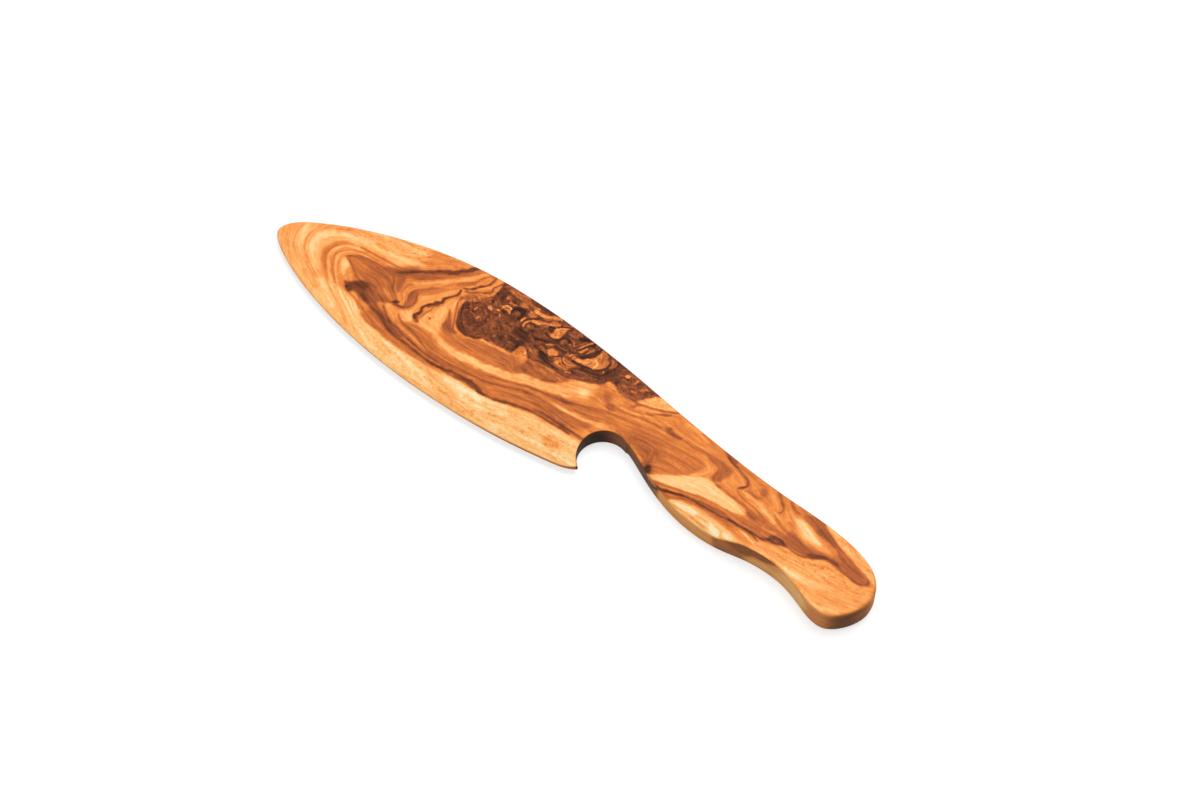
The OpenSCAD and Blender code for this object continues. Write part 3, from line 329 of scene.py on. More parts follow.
BURL = [
    # dark burl along the spine
    area(0.23, 0.4, (64.2, 25, 75, 25.4, 86, 25, 99, 24, 107, 23, 122, 20.4, 119.4, 19, 117.6, 17.2,
        116.2, 15.4, 113, 14, 110.4, 14.6, 107.8, 15.4, 106.4, 15, 106, 13.4, 103.6, 12.2, 101, 11, 99, 10,
        96.6, 9, 93, 8.9, 90, 8.6, 86.4, 8.2, 84.8, 8.2, 83, 9.4, 81.6, 10, 80.3, 9.8, 80.1, 6.7, 78.4, 6.4,
        76.6, 6.2, 75, 5.9, 73.3, 5.9, 72.5, 5.5, 71.4, 5.5, 70.9, 5.8, 70.2, 5, 69, 4, 67, 3.5, 65, 3.7,
        63, 4.4, 61, 6.5, 59.4, 9, 58.9, 11, 59, 12.8, 60.4, 13.6, 62.4, 15, 63.4, 16, 63, 17.2, 63.8, 18.2,
        64.2, 20, 64, 22), 1.0, True),
    # layers round the eye's left side
    line(0.28, 0.2, (57.4, 12.6, 57.5, 11, 58.5, 9.4, 59.5, 7.7, 60.5, 6, 61.4, 4.5, 62, 3.2,
        62.6, 2.2), 0.22, 0.9),
    line(0.57, 0.22, (58, 12.4, 58.6, 11.4, 59.2, 10, 60.1, 8.7, 60.7, 7.5, 61.4, 5.8, 62, 5, 62.8, 4.2,
        63.8, 3.6, 65, 3.2, 66.5, 3, 68, 3.4, 69.5, 4.1), 0.2, 0.95),
    line(0.63, 0.22, (62, 4.9, 63, 3.9, 64.4, 3.2, 66.4, 2.9, 68, 3.2), 0.3, 0.8),
    line(0.64, (0.4, 0.5), (70.2, 4.5, 71.5, 5, 73.5, 5.1, 76, 5.6, 78, 5.9, 80.4, 6.2), 0.3),
    area(0.3, 0.3, (57, 13.3, 57.6, 13.4, 57.8, 12.4, 57.4, 11.9, 57, 12.4), 0.9),
    line(0.3, 0.2, (57.6, 14.4, 58.7, 13.7, 59.6, 12.9), 0.3, 0.8),
    line(0.62, 0.3, (58.9, 13.8, 59.5, 13.4, 59.9, 12.9), 0.25, 0.9),
    # rings in the eye
    line(0.12, 0.39, (59.3, 12.5, 59.5, 10.8, 60.3, 9, 61, 7, 62, 5.5, 63.5, 4.4, 65.2, 3.9,
        67, 4.1), 0.3, 0.9),
    area(0.12, 0.5, (59.4, 12.8, 60.6, 12.6, 60.6, 11, 60, 10.2, 59.4, 11)),
    line(0.29, 0.3, (61, 10.6, 61.6, 9.8, 62, 8.6, 63.2, 7.2, 65.4, 6.4, 67, 6.6), 0.4, 0.7),
    line(0.16, 0.39, (62, 6.8, 63.6, 5.4, 66, 5, 68.4, 6.5, 70.6, 7.1), 0.4, 0.8),
    line(0.1, 0.39, (67, 13, 67.4, 11.6, 67.8, 9.6, 67.2, 8, 66, 7.2), 0.3, 0.8),
    line(0.12, 0.33, (62.4, 11.4, 63.2, 9.8, 64.4, 8.6, 66, 8.6, 66.8, 9.8, 66.2, 11.4), 0.3, 0.7),
    line(0.3, 0.25, (68.6, 10.8, 68.6, 9.5, 69, 8.2), 0.3, 0.8),
    line(0.33, 0.3, (69.2, 13.2, 69.3, 11.6, 70, 10.2), 0.35, 0.7),
    line(0.36, 0.2, (67.6, 11.8, 68, 11.2), 0.25, 0.9),
    line(0.36, 0.3, (71, 13.2, 72.2, 13.5), 0.35, 0.8),
    line(0.36, 0.2, (72.4, 10, 72.5, 9.2), 0.3, 0.8),
    area(0.46, 0.25, (72.2, 8.3, 72.7, 8.5, 73.1, 8, 72.7, 7.5, 72.2, 7.8)),
    line(0.42, 0.15, (73.5, 9.5, 73.9, 9.1), 0.2, 0.9),
    line(0.5, 0.18, (65.8, 7.8, 66.4, 7.7), 0.22, 0.9),
    line(0.36, 0.2, (64.8, 6.4, 66.6, 6.5), 0.25, 0.8),
    # light flecks at the eye's upper left
    area(0.38, 0.35, (57.6, 13, 58.2, 15.2, 60.2, 16.4, 62.4, 17.2, 63.8, 17.6, 63.6, 16, 62.4, 15,
        60.4, 13.6, 59, 12.9), 0.9),
    line(0.68, 0.22, (60.9, 15.6, 61.4, 15.45, 62.1, 15.4), 0.22),
    line(0.64, 0.28, (60, 14.8, 60.6, 14.5, 61.3, 14.1), 0.24),
    line(0.56, 0.22, (60.2, 16.2, 61.2, 16.2, 62, 16.4), 0.3, 0.9),
    line(0.58, 0.26, (60.8, 12, 61.8, 12.1), 0.24),
    line(0.6, 0.28, (62.6, 11.6, 62.75, 12.4, 62.9, 13), 0.25, 0.95),
    line(0.5, 0.2, (63.7, 12.9, 64.4, 12.7), 0.22, 0.9),
    line(0.54, 0.2, (62.1, 10.8, 63, 10.5, 64.2, 10.1), 0.18, 0.95),
    area(0.5, 0.26, (64.8, 10.8, 65.4, 10.8, 65.3, 10.1, 65, 9.6, 64.6, 9.8)),
    line(0.52, 0.22, (64.3, 16.8, 64.8, 16.1), 0.22, 0.95),
    line(0.37, 0.4, (64.8, 17.4, 65.6, 17.4, 66.4, 16.6), 0.4, 0.8),
    area(0.62, 0.25, (65.1, 15.4, 65.9, 15.5, 66.7, 14.9, 66.5, 14.3, 65.4, 14.5)),
    line(0.13, 0.52, (64, 18.2, 64.8, 17.7, 65.4, 18.6), 0.35, 0.9),
    line(0.12, 0.33, (64.6, 14.2, 66.8, 13.8, 67.4, 15.2), 0.3, 0.7),
    # upper burl between the eye and the spine
    line(0.48, (0.3, 0.2), (65.8, 24, 64.8, 23.2, 64.4, 22.4), 0.35, 0.8),
    area(0.14, 0.5, (64.5, 22.6, 66.8, 22.6, 67, 20.6, 67, 19.2, 65.8, 18.8, 64.4, 19.6)),
    line(0.07, 0.45, (66.2, 20.6, 66.4, 19.7, 67, 19), 0.35, 0.9),
    area(0.36, 0.4, (66, 24.6, 72, 24.6, 74.6, 22.6, 73, 21.8, 69, 22.2, 67.2, 22.6), 0.9),
    line(0.54, 0.34, (68.4, 23.5, 70.6, 23.6, 73, 23.9), 0.3, 0.9),
    line(0.13, 0.52, (72.8, 24, 75.4, 23.4, 78, 23.4, 81, 23.3, 83, 23.5), 0.35, 0.9),
    line(0.47, 0.3, (67.4, 22.5, 69, 22.2, 71, 22.3), 0.25, 0.9),
    line(0.43, 0.3, (71.4, 22.8, 73.4, 22.7, 75, 22.5), 0.3, 0.8),
    line(0.58, 0.28, (75.2, 22.4, 76.4, 22.6, 77.4, 22.7), 0.22, 0.95),
    line(0.13, 0.29, (68.8, 21.2, 70.2, 21.5, 71.4, 21.5), 0.25, 0.9),
    area(0.5, 0.3, (71.4, 21.4, 72.6, 21.9, 74.2, 21.3, 73.8, 20.7, 72.4, 20.4, 71.6, 20.6)),
    line(0.36, 0.12, (71.8, 20.8, 73, 21.2, 74, 21), 0.15, 0.8),
    line(0.1, 0.29, (68.9, 20.5, 70.2, 20.3, 71.8, 20.5), 0.22, 0.9),
    line(0.7, 0.28, (67.6, 20.9, 67.5, 20.4, 67.7, 20), 0.2),
    line(0.6, 0.2, (67.7, 20.1, 68.1, 20.6, 68.6, 20.7), 0.18, 0.9),
    line(0.55, (0.3, 0.2), (68.4, 19.4, 69.6, 19.5, 70.8, 19.7, 71.6, 20), 0.22, 0.95),
    line(0.74, 0.36, (68.5, 16.8, 68.6, 17.3, 69, 17.8, 69.6, 18.15, 70.3, 18.1, 70.8, 17.5, 71, 16.8,
        71.1, 16.2), 0.18, 1.0, 0.08),
    line(0.28, 0.1, (69, 17.1, 69.5, 17.5, 70.2, 17.4, 70.6, 16.8), 0.12, 0.9),
    line(0.74, 0.2, (69.3, 16.7, 69.7, 17, 70.1, 17, 70.4, 16.5), 0.15),
    line(0.06, 0.52, (68.9, 15.9, 69.6, 16, 70.3, 15.7)),
    line(0.15, 0.52, (70.4, 15.2, 71.2, 15.3), 0.4, 0.8),
    area(0.72, 0.18, (67.8, 15.8, 68.2, 16.1, 68.6, 15.8, 68.4, 15.4, 67.9, 15.4)),
    line(0.6, 0.15, (69, 14.8, 69.4, 14.4, 69.9, 14), 0.18, 0.95),
    line(0.05, 0.55, (71.5, 16.8, 71.4, 17.8, 71.6, 18.9, 72.4, 19.7, 73.8, 20, 74.6, 19.4, 74.9, 18.4,
        74.8, 17.2, 74.4, 16), 0.26, 1.0, 0.06),
    line(0.08, 0.39, (72, 19.2, 73.4, 19, 74.4, 18.2), 0.3, 0.8),
    area(0.31, 0.4, (72.4, 18.6, 73.4, 18.5, 73.7, 17.4, 73.2, 16.8, 72.3, 17.2)),
    line(0.1, 0.45, (71.6, 16.6, 72.4, 15.6, 73.6, 15.4, 74.8, 15.6), 0.4, 0.8),
    line(0.3, 0.25, (74.6, 13.4, 75.5, 13.2), 0.3, 0.8),
    line(0.07, 0.66, (75, 14.2, 76.6, 13.8, 78.4, 13.8, 80, 14.4), 0.4, 0.95),
    area(0.1, 0.8, (75.4, 12.8, 78, 13.6, 80.6, 13.2, 80.8, 11, 80.2, 8.4, 78.8, 9.6, 77, 9.6, 75.8, 10.4,
        75.8, 11.6)),
    area(0.11, 0.7, (73.6, 9, 74.6, 9.4, 75.3, 8.8, 75, 7.8, 74, 7.6)),
    line(0.33, 0.2, (75.2, 11.3, 76.2, 11, 78, 11.1, 79.2, 11.3), 0.25, 0.8),
    line(0.3, 0.3, (74.8, 10, 75.6, 10), 0.3, 0.7),
    line(0.27, 0.35, (77, 8.8, 78.6, 8.7), 0.4, 0.8),
    line(0.09, 0.39, (72.2, 7, 73.2, 6.6, 74, 6.9), 0.3, 0.9),
    # crest above the swirl
    line(0.71, 0.54, (76, 21.7, 77.4, 21.4, 79, 21.5, 80.2, 21.8, 81.4, 22.4, 82.6, 23,
        84.4, 23.7), 0.26, 1.0, 0.06),
    line(0.64, 0.25, (75.9, 22, 76.5, 21.5, 77.2, 21.1), 0.25, 0.9),
    line(0.16, 0.33, (77.8, 20.6, 78.8, 20.5, 79.6, 20.6), 0.25, 0.9),
    line(0.4, 0.3, (79.8, 20.9, 81, 21.3, 82.4, 22, 83.4, 22.5), 0.25, 0.9),
    line(0.17, 0.36, (83.4, 22.6, 84.4, 22.8, 85.6, 23.3), 0.25, 0.95),
    line(0.62, 0.22, (74.4, 20.8, 74.8, 20.3), 0.22, 0.95),
    area(0.46, 0.35, (75.3, 20.8, 77, 20.8, 78.2, 20.4, 77.4, 19.4, 76.4, 18.8, 75.7, 19.2)),
    line(0.14, (0.16, 0.39), (76.9, 18.8, 77.8, 19.5, 78.8, 20.1, 79.4, 20.4), 0.18, 0.95),
    line(0.63, 0.3, (75.8, 18.4, 75.5, 17.6, 75.5, 16.8, 75.6, 16.2), 0.2, 0.95),
    line(0.42, 0.28, (75, 15.5, 75.4, 14.9, 76, 14.4), 0.28, 0.9),
    line(0.11, 0.26, (77.2, 18.9, 76.5, 18, 76.05, 16.8, 76.1, 15.5, 76.6, 14.6, 77.8, 14.1), 0.18),
    line(0.66, 0.58, (77.4, 18.4, 78.6, 18.8, 79.8, 19, 80.8, 19.7, 82, 20.2, 83, 20.8, 84.2, 21.4,
        85.2, 21.9), 0.24, 1.0, 0.06),
    line(0.36, 0.14, (78.4, 19.3, 79.8, 19.5, 81, 20.3, 82.4, 20.9, 84, 21.9), 0.15, 0.8),
    line(0.7, 0.22, (81.4, 20, 82.2, 20.3, 83, 20.6), 0.22, 0.9),
    line(0.6, 0.3, (77.6, 18.3, 76.8, 17.3, 76.6, 16.3, 77.1, 15.1), 0.18, 0.95),
    line(0.14, 0.21, (77.3, 17, 77.8, 17.4, 78.6, 17.65, 79.5, 17.5, 80, 16.8), 0.16, 0.95),
    area(0.42, 0.3, (77.5, 16.7, 78.2, 16.8, 78.6, 16.2, 78.2, 15.8, 77.6, 16)),
    line(0.12, 0.21, (77.2, 16, 77.4, 15.5, 78, 15.2), 0.18, 0.9),
    line(0.36, 0.22, (78.4, 15.5, 79, 16.3, 79.4, 16.6), 0.25, 0.8),
    line(0.07, 0.5, (79, 15.2, 80, 15.6, 80.6, 16), 0.35, 0.9),
    line(0.11, 0.18, (80.4, 18.6, 80.3, 17.9, 80.7, 17.4), 0.16, 0.9),
    line(0.4, 0.35, (80.8, 19, 81.4, 19.2, 82.4, 19), 0.3, 0.9),
    line(0.3, 0.5, (81, 18.2, 82, 18, 83, 17.8), 0.4, 0.8),
    line(0.26, 0.4, (81, 17, 82.6, 16.6, 83.6, 16.2), 0.4, 0.7),
    area(0.07, 0.24, (82.7, 19.8, 83.6, 20.4, 84.4, 20.4, 84.7, 19.6, 84.5, 18.6, 83.8, 18.5, 83, 18.9)),
    area(0.6, 0.28, (84.9, 20.6, 85.6, 21.4, 86.6, 22, 87.5, 22.3, 87.6, 21, 87.3, 19.8, 87.5, 18.6,
        87.2, 17.8, 86, 17.2, 84.8, 17.3, 84.2, 17.8, 84.9, 18.6, 84.8, 19.6)),
    line(0.36, 0.18, (85.1, 19.9, 85.4, 19, 85.8, 18), 0.2, 0.85),
    line(0.7, 0.25, (86, 20.6, 86.6, 21.2, 87, 21.8), 0.3, 0.8),
    line(0.42, 0.12, (86.2, 21.6, 86.2, 20.2, 86.8, 19, 86.9, 18), 0.16, 0.8),
    line(0.67, 0.3, (85.2, 17.8, 86.2, 18.2, 86.8, 18.8), 0.3, 0.7),
    line(0.56, 0.18, (85.4, 22.2, 86.4, 22.7, 87.3, 23.1, 88.2, 23.5), 0.18, 0.95),
    line(0.1, 0.26, (84.5, 20.5, 85.5, 21.5, 86.5, 22.2, 87.5, 22.7, 88.4, 23.1), 0.18),
    # loops in the middle of the burl
    line(0.04, 0.45, (82.8, 17.5, 84.2, 17, 85.5, 16.9, 86.8, 17.2, 87.6, 17.9, 87.9, 18.6, 88.5, 19.2,
        89.5, 19.4, 90.5, 19.1, 91, 19.4), 0.22, 1.0, 0.05),
    line(0.05, 0.6, (81.6, 13.8, 83, 14.6, 84.3, 15.2, 85.8, 15.8, 87.2, 16.6, 88.2, 17.3), 0.3, 0.95, 0.08),
    line(0.07, 0.47, (88.6, 22.6, 87.8, 21.7, 87.9, 20.8, 88.8, 20.4, 89.5, 20.8), 0.26),
    area(0.27, 0.3, (89.4, 22.8, 91, 22.4, 91.2, 21.4, 90, 21, 89.2, 21.6)),
    line(0.32, 0.25, (88.4, 23.1, 89.6, 23, 90.6, 23), 0.25, 0.8),
    line(0.57, 0.2, (91.2, 23, 91.6, 22.5, 92, 22.2), 0.18, 0.95),
    area(0.04, 0.28, (92.4, 22.9, 95.2, 22.8, 94.6, 22, 93.6, 21.6, 92, 20.8, 91.4, 21.4)),
    line(0.3, 0.3, (89.4, 18.8, 88.8, 18.4, 88.4, 17.8), 0.25, 0.9),
    line(0.56, 0.15, (90.2, 19.8, 90.7, 19.75, 91.2, 19.9), 0.15, 0.9),
    line(0.54, 0.18, (90.4, 18.5, 90.8, 18.5, 91.2, 18.2), 0.18, 0.9),
    line(0.66, 0.18, (91.2, 20.1, 91.6, 19.1, 92, 18.4), 0.16),
    line(0.52, 0.22, (88.7, 17.8, 89, 17.2), 0.2, 0.95),
    line(0.08, 0.42, (89.4, 17.8, 90.6, 17.3, 92, 17.3), 0.28, 0.95),
    line(0.1, 0.26, (88.2, 16.6, 90, 16.7, 91.6, 16.8, 92.8, 16.4), 0.2, 0.95),
    line(0.52, 0.14, (88, 15.8, 89.4, 16.1, 90.6, 16.3, 91.6, 16.4), 0.16, 0.95),
    line(0.04, 0.5, (87.6, 15.6, 89, 15.4, 90.2, 15.2, 91.2, 15.6, 91.8, 16), 0.24),
    line(0.5, 0.22, (85.4, 14.4, 86.3, 15, 87.3, 15.4), 0.2, 0.95),
    line(0.34, 0.22, (83.8, 14.4, 84.8, 14.5), 0.25, 0.8),
    line(0.1, 0.44, (84, 13.8, 85.8, 13.8, 87, 13.6), 0.28, 0.9),
    line(0.36, 0.2, (81.4, 15.2, 81.8, 14.8), 0.22, 0.9),
    line(0.26, 0.4, (83.4, 12.8, 85.4, 12.6, 87, 12.8), 0.35, 0.8),
    area(0.6, 0.24, (87.6, 14.2, 88.2, 14.6, 89.2, 14.5, 90.2, 14, 90, 13, 89.2, 12.5, 88.5, 12, 87.9, 12.5,
        87.2, 13.2)),
    line(0.7, 0.28, (89, 14, 89.5, 13.6, 89.3, 13), 0.25, 0.8),
    line(0.46, 0.22, (87.6, 13.4, 88.2, 12.9), 0.25, 0.7),
    area(0.38, 0.5, (81.6, 11.6, 83.4, 11.8, 85.2, 11, 86.4, 10, 87, 9, 85.4, 8.5, 84.2, 8.9, 83.2, 9.8,
        82, 10.4)),
    line(0.28, 0.18, (82, 11.2, 83.6, 11.2, 85, 10.2), 0.25, 0.8),
    line(0.48, 0.18, (82.8, 10.6, 84.2, 10, 85.6, 9.2), 0.22, 0.8),
    line(0.26, 0.14, (83.6, 10.4, 84.8, 9.4, 86, 8.9), 0.2, 0.7),
    line(0.33, 0.3, (80.8, 11.2, 81.6, 11), 0.3, 0.8),
    line(0.2, 0.52, (81, 12.6, 82.6, 12.6, 84, 12), 0.4, 0.8),
    area(0.06, 0.32, (85.4, 11.4, 86.7, 12, 88, 11.8, 89.2, 11.3, 90, 10.4, 91.2, 10.1, 93.6, 10.1, 92, 9.7,
        90, 9.4, 89, 9.2, 88.2, 9.5, 87.2, 10.2, 86.2, 10.6)),
    line(0.13, 0.18, (81.8, 10.2, 82.7, 9.8, 83.4, 9, 84.1, 8.6, 84.6, 8, 85.5, 8.2, 86.8, 8.7,
        88.2, 9.1), 0.16, 0.95),
    area(0.45, 0.4, (90.4, 13, 91.6, 14, 93.2, 14.2, 95, 14, 96.6, 13.8, 96, 12.4, 95, 11, 93, 10.6,
        91.2, 10.9, 90.4, 11.8)),
    line(0.1, 0.23, (90.2, 12.7, 90.8, 13.5, 91.5, 14, 92, 13.5, 92.8, 12.7, 93.8, 12.3, 94.6, 12.2), 0.16),
    line(0.62, 0.18, (92.2, 14.2, 92.8, 13.4, 93.8, 13, 95, 13.2, 96, 13.7), 0.16, 0.95),
    line(0.3, 0.1, (92.6, 14.2, 93.4, 13.6, 94.4, 13.5, 95.4, 13.9), 0.14, 0.9),
    line(0.58, 0.12, (92.4, 12.5, 93.4, 12, 94.4, 11.9), 0.14, 0.9),
    line(0.16, 0.17, (92, 12, 93, 11.6, 94.2, 11.4, 95.2, 11.7), 0.14, 0.95),
    area(0.61, 0.24, (91.3, 12, 92.2, 12, 92.4, 11.2, 91.8, 11, 91.2, 11.3)),
    line(0.52, 0.18, (92.8, 11.1, 94, 11), 0.22, 0.8),
    line(0.6, 0.2, (95.2, 10.6, 96, 11, 96.7, 11.5), 0.18, 0.95),
    # fan of dark and orange lines towards the handle
    line(0.62, 0.26, (95.6, 22.8, 94.8, 21.5, 94.4, 20.7, 94, 19.7, 93.5, 18.9), 0.2, 1.0, 0.06),
    line(0.44, 0.12, (93.4, 21, 93.2, 20, 92.7, 19.2), 0.16, 0.8),
    line(0.5, 0.14, (93.6, 19.6, 93.2, 18.9, 92.8, 18.6), 0.16, 0.9),
    line(0.12, 0.33, (93.4, 21.6, 92.9, 20.4, 92.3, 19.4), 0.2, 0.9),
    line(0.63, 0.36, (95.6, 20.4, 95.2, 19, 94.6, 18.2, 94, 17.7), 0.2),
    line(0.56, 0.28, (97.2, 21.2, 96.8, 20, 96.6, 19, 96.2, 18.4), 0.2, 0.95),
    line(0.3, 0.1, (97, 21, 96.6, 19.8, 96.3, 18.8), 0.14, 0.8),
    line(0.06, (0.39, 0.21), (96.6, 22.8, 95.6, 21.4, 94.9, 20.2, 94.5, 19.1, 93.8, 18.4,
        93, 18.1), 0.18, 1.0, 0.05),
    line(0.14, 0.18, (96.8, 21.7, 96.1, 20.5, 96.2, 19.5, 95.9, 18.5, 95.2, 17.7), 0.14, 0.95),
    line(0.3, 0.3, (98.4, 22, 98.2, 20.6, 97.4, 19, 96.2, 17.6), 0.3, 0.9),
    line(0.09, 0.26, (97.7, 22, 97.9, 20.5, 97.2, 19, 96, 17.7, 95.2, 16.8), 0.18, 0.95),
    line(0.06, 0.52, (99, 22.6, 98.6, 20.8, 98.4, 19.6, 97.5, 18.3, 96.5, 17.2, 95.5, 16.5), 0.2, 1.0, 0.05),
    line(0.26, 0.25, (94.2, 16.8, 94.6, 17.1), 0.25, 0.9),
    line(0.07, 0.2, (93.6, 16.3, 93.8, 17.1, 94.4, 17.5, 95, 17.2, 95.2, 16.6), 0.15),
    line(0.55, 0.18, (92.7, 17.8, 93.2, 17.4), 0.18, 0.9),
    line(0.1, 0.26, (92.8, 16.9, 93.4, 16.5), 0.18, 0.8),
    line(0.46, 0.25, (92.2, 16, 92.3, 15.2), 0.25, 0.9),
    line(0.62, 0.24, (93.1, 16.4, 93.1, 15.6, 92.9, 15.1), 0.2, 0.95),
    line(0.36, 0.16, (93.7, 16, 93.7, 15), 0.18, 0.9),
    line(0.69, 0.32, (94.4, 16, 94.4, 15.4, 94.3, 14.9), 0.22),
    line(0.4, 0.16, (95, 16, 95, 15.2), 0.2, 0.8),
    area(0.52, 0.4, (99.3, 22.4, 101, 22, 102.4, 20.9, 103.2, 19.4, 103, 17.8, 101.8, 16.6, 100.6, 15.9,
        98.8, 15.8, 98, 17, 98.8, 18.6, 99.2, 20.2)),
    area(0.61, 0.26, (95.1, 15, 95.1, 15.9, 96.5, 16.5, 97.4, 17.5, 98, 18.1, 99, 18.3, 99.6, 18.8,
        100.2, 18.7, 100.8, 17.8, 100.9, 16, 100, 15.9, 99, 15.6, 98.2, 15.2, 97, 15)),
    line(0.69, 0.3, (95.8, 15.4, 96.6, 15.4, 97.6, 15.8, 98.2, 16.6), 0.3, 0.9),
    line(0.55, 0.2, (98.8, 17.8, 99.2, 17, 99.2, 16.2), 0.25, 0.7),
    line(0.8, 0.24, (99.5, 18.4, 100.1, 18.4, 100.5, 17.8, 100.6, 17, 100.6, 16.1), 0.2),
    line(0.38, 0.22, (100, 21.8, 100.6, 20.6, 101.2, 19.6, 101.6, 18.4), 0.3, 0.8),
    line(0.42, 0.35, (101.2, 21.9, 102, 21, 102.4, 20), 0.35, 0.7),
    line(0.57, 0.2, (99.6, 21.6, 99.9, 20.4, 100.2, 19.6), 0.3, 0.7),
    line(0.05, (0.32, 0.44), (101.8, 22.2, 102.4, 20.8, 103.3, 20.3, 103.6, 19.1, 103.5, 17.9, 102.7, 16.8,
        101.8, 15.9, 100.9, 15.5, 100.1, 15.5, 99.3, 15.1, 98, 14.7, 96.5, 14.7, 95, 14.5,
        94.2, 14.2), 0.2, 1.0, 0.05),
    line(0.58, 0.18, (103, 21.5, 103.9, 20.6, 104, 19.4, 103.9, 18.4), 0.16, 0.95),
    line(0.58, 0.2, (103.2, 16.9, 103.7, 16.5), 0.18, 0.9),
    line(0.42, 0.2, (104.8, 21, 105, 20.2, 104.6, 19.4), 0.2, 0.9),
    line(0.3, 0.2, (106.2, 21.8, 106, 20.4, 105.5, 18.8), 0.2, 0.9),
    line(0.08, (0.29, 0.47), (104.6, 21.9, 105.7, 21, 105.6, 20, 104.9, 18.7, 104.5, 17.4, 104.3, 16,
        103.3, 15.3, 102.1, 14.8, 100.6, 14.3, 99, 13.8), 0.22, 1.0, 0.05),
    line(0.1, 0.52, (107.1, 21.6, 106.4, 20.1, 105.9, 18.8, 105.8, 17.4, 105.4, 16, 104.6, 14.9), 0.3),
    area(0.13, 0.4, (105.2, 19, 106.4, 19.2, 107, 18, 107.8, 17.2, 107.4, 16, 106.2, 15.8, 105.2, 15.4,
        104.8, 17)),
    line(0.42, 0.2, (103.6, 14.7, 104.6, 14.5), 0.22, 0.8),
    area(0.3, 0.6, (109, 21, 115, 20, 117.6, 18.6, 116.6, 15.4, 113, 14.2, 109.4, 15.2, 108.8, 17.4)),
    line(0.22, 0.35, (107.8, 21.2, 109.4, 21, 111, 20.6), 0.35, 0.8),
    line(0.46, 0.24, (107.3, 18.6, 107.8, 19.1, 108.4, 19.3), 0.24, 0.9),
    area(0.61, 0.22, (109, 19.6, 109.6, 20.3, 110.4, 20.2, 110.4, 19.5, 109.6, 19.2)),
    line(0.09, 0.26, (108.1, 17.8, 108.6, 18.5, 109.3, 18.8, 110.2, 18.7, 110.7, 19.1), 0.18),
    line(0.12, 0.36, (108.1, 17.8, 108.3, 16.9, 108.1, 16.2), 0.24, 0.95),
    line(0.5, 0.2, (110, 16.5, 110.8, 16.6, 111.5, 16.3), 0.2, 0.9),
    line(0.46, 0.2, (108.9, 16, 109.4, 15.9, 110, 15.7), 0.2, 0.9),
    line(0.2, 0.26, (109.4, 17.8, 110.6, 17.4, 112, 17.8), 0.25, 0.7),
    area(0.58, 0.24, (112.9, 16.6, 113.6, 16.9, 114.4, 16.6, 113.8, 16.1, 113, 16.1)),
    line(0.15, 0.33, (111, 15.2, 111.9, 14.9), 0.25, 0.9),
    line(0.12, 0.31, (110.4, 14.3, 111.8, 14, 113, 13.8, 113.9, 13.8), 0.2, 0.95),
    line(0.26, 0.2, (113.8, 14.2, 115, 14.4, 116.8, 14.6), 0.22, 0.9),
    line(0.6, 0.28, (112.5, 20.6, 112.7, 19.6, 112.5, 18.5), 0.2, 0.95),
    line(0.2, 0.33, (111.5, 20.6, 111.4, 19.6), 0.25, 0.8),
    line(0.13, 0.34, (113.5, 20.2, 113.4, 19.2, 113.2, 18.4), 0.22, 0.95),
    line(0.16, 0.33, (114.2, 20.3, 114.4, 19.4), 0.25, 0.9),
    line(0.53, 0.28, (114.9, 17.9, 115.5, 18.7, 116.5, 19.4), 0.22, 0.95),
    line(0.2, 0.39, (115.1, 16.9, 116.2, 17.9, 117.4, 18.8, 118.6, 19.4, 119.8, 19.6), 0.26, 0.95),
    line(0.38, 0.4, (116.6, 15.6, 117.4, 17, 118.2, 18, 119.4, 18.9), 0.35, 0.8),
    # dark lines under the fan
    line(0.1, 0.39, (104.8, 14.6, 102.6, 15, 100.4, 14.9, 98.6, 14.5), 0.25, 0.9),
    line(0.13, 0.47, (102, 14.7, 100.5, 14, 99, 13.7, 97.8, 13.5, 96.8, 13, 96, 12.2,
        95.2, 11.4), 0.26, 0.95),
    line(0.2, 0.55, (106, 14.2, 104.6, 13.4, 103, 13.2, 101, 13.4), 0.4, 0.8),
    line(0.46, 0.16, (96.6, 11.9, 98, 12.6, 99.6, 13, 102, 13.2, 104, 14), 0.2, 0.9),
    line(0.38, 0.22, (97, 11.4, 99, 11.9, 101.4, 12.5, 104, 13.2), 0.25, 0.8),
    line(0.22, 0.4, (93, 9.8, 95.4, 10, 98, 10.4, 101, 11.4, 103.6, 12.6, 105.6, 13.8), 0.35, 0.9),
    line(0.38, 0.16, (96, 10.9, 98.6, 11.1, 101, 11.9), 0.2, 0.7),
    area(0.69, 0.3, (106.2, 14.4, 106.8, 15.3, 107.6, 15.1, 108, 14.4, 107, 13.9)),
    # brown under the burl
    area(0.38, 0.5, (85, 8, 88, 8.4, 91, 8.8, 95, 9, 97.8, 9.4, 98, 8, 96.8, 6.9, 95.4, 6, 93, 5, 90.4, 4.2,
        87.6, 3.6, 85, 2.2, 83.6, 3, 84.4, 5.4)),
    line(0.26, 0.4, (85.2, 6.8, 86.6, 6.8, 87.6, 6.4), 0.35, 0.9),
    line(0.29, 0.45, (84.8, 4.7, 86, 4.4, 87, 4.2), 0.4, 0.9),
    line(0.56, 0.3, (85, 8, 86.2, 7.9, 87.6, 7.8), 0.25, 0.9),
    line(0.54, 0.4, (89.4, 7.2, 90.6, 7.1, 91.8, 7), 0.35, 0.9),
    line(0.54, 0.35, (90.4, 8.4, 91.8, 8.5, 93.4, 8.3), 0.3, 0.9),
    line(0.58, 0.3, (94.4, 7.8, 95.5, 7.8, 96.4, 7.6), 0.25, 0.9),
    line(0.47, 0.35, (92.6, 7.5, 94.2, 7.3), 0.3, 0.8),
    line(0.46, 0.3, (88.6, 4.6, 90, 4.6, 91.4, 5.2), 0.35, 0.7),
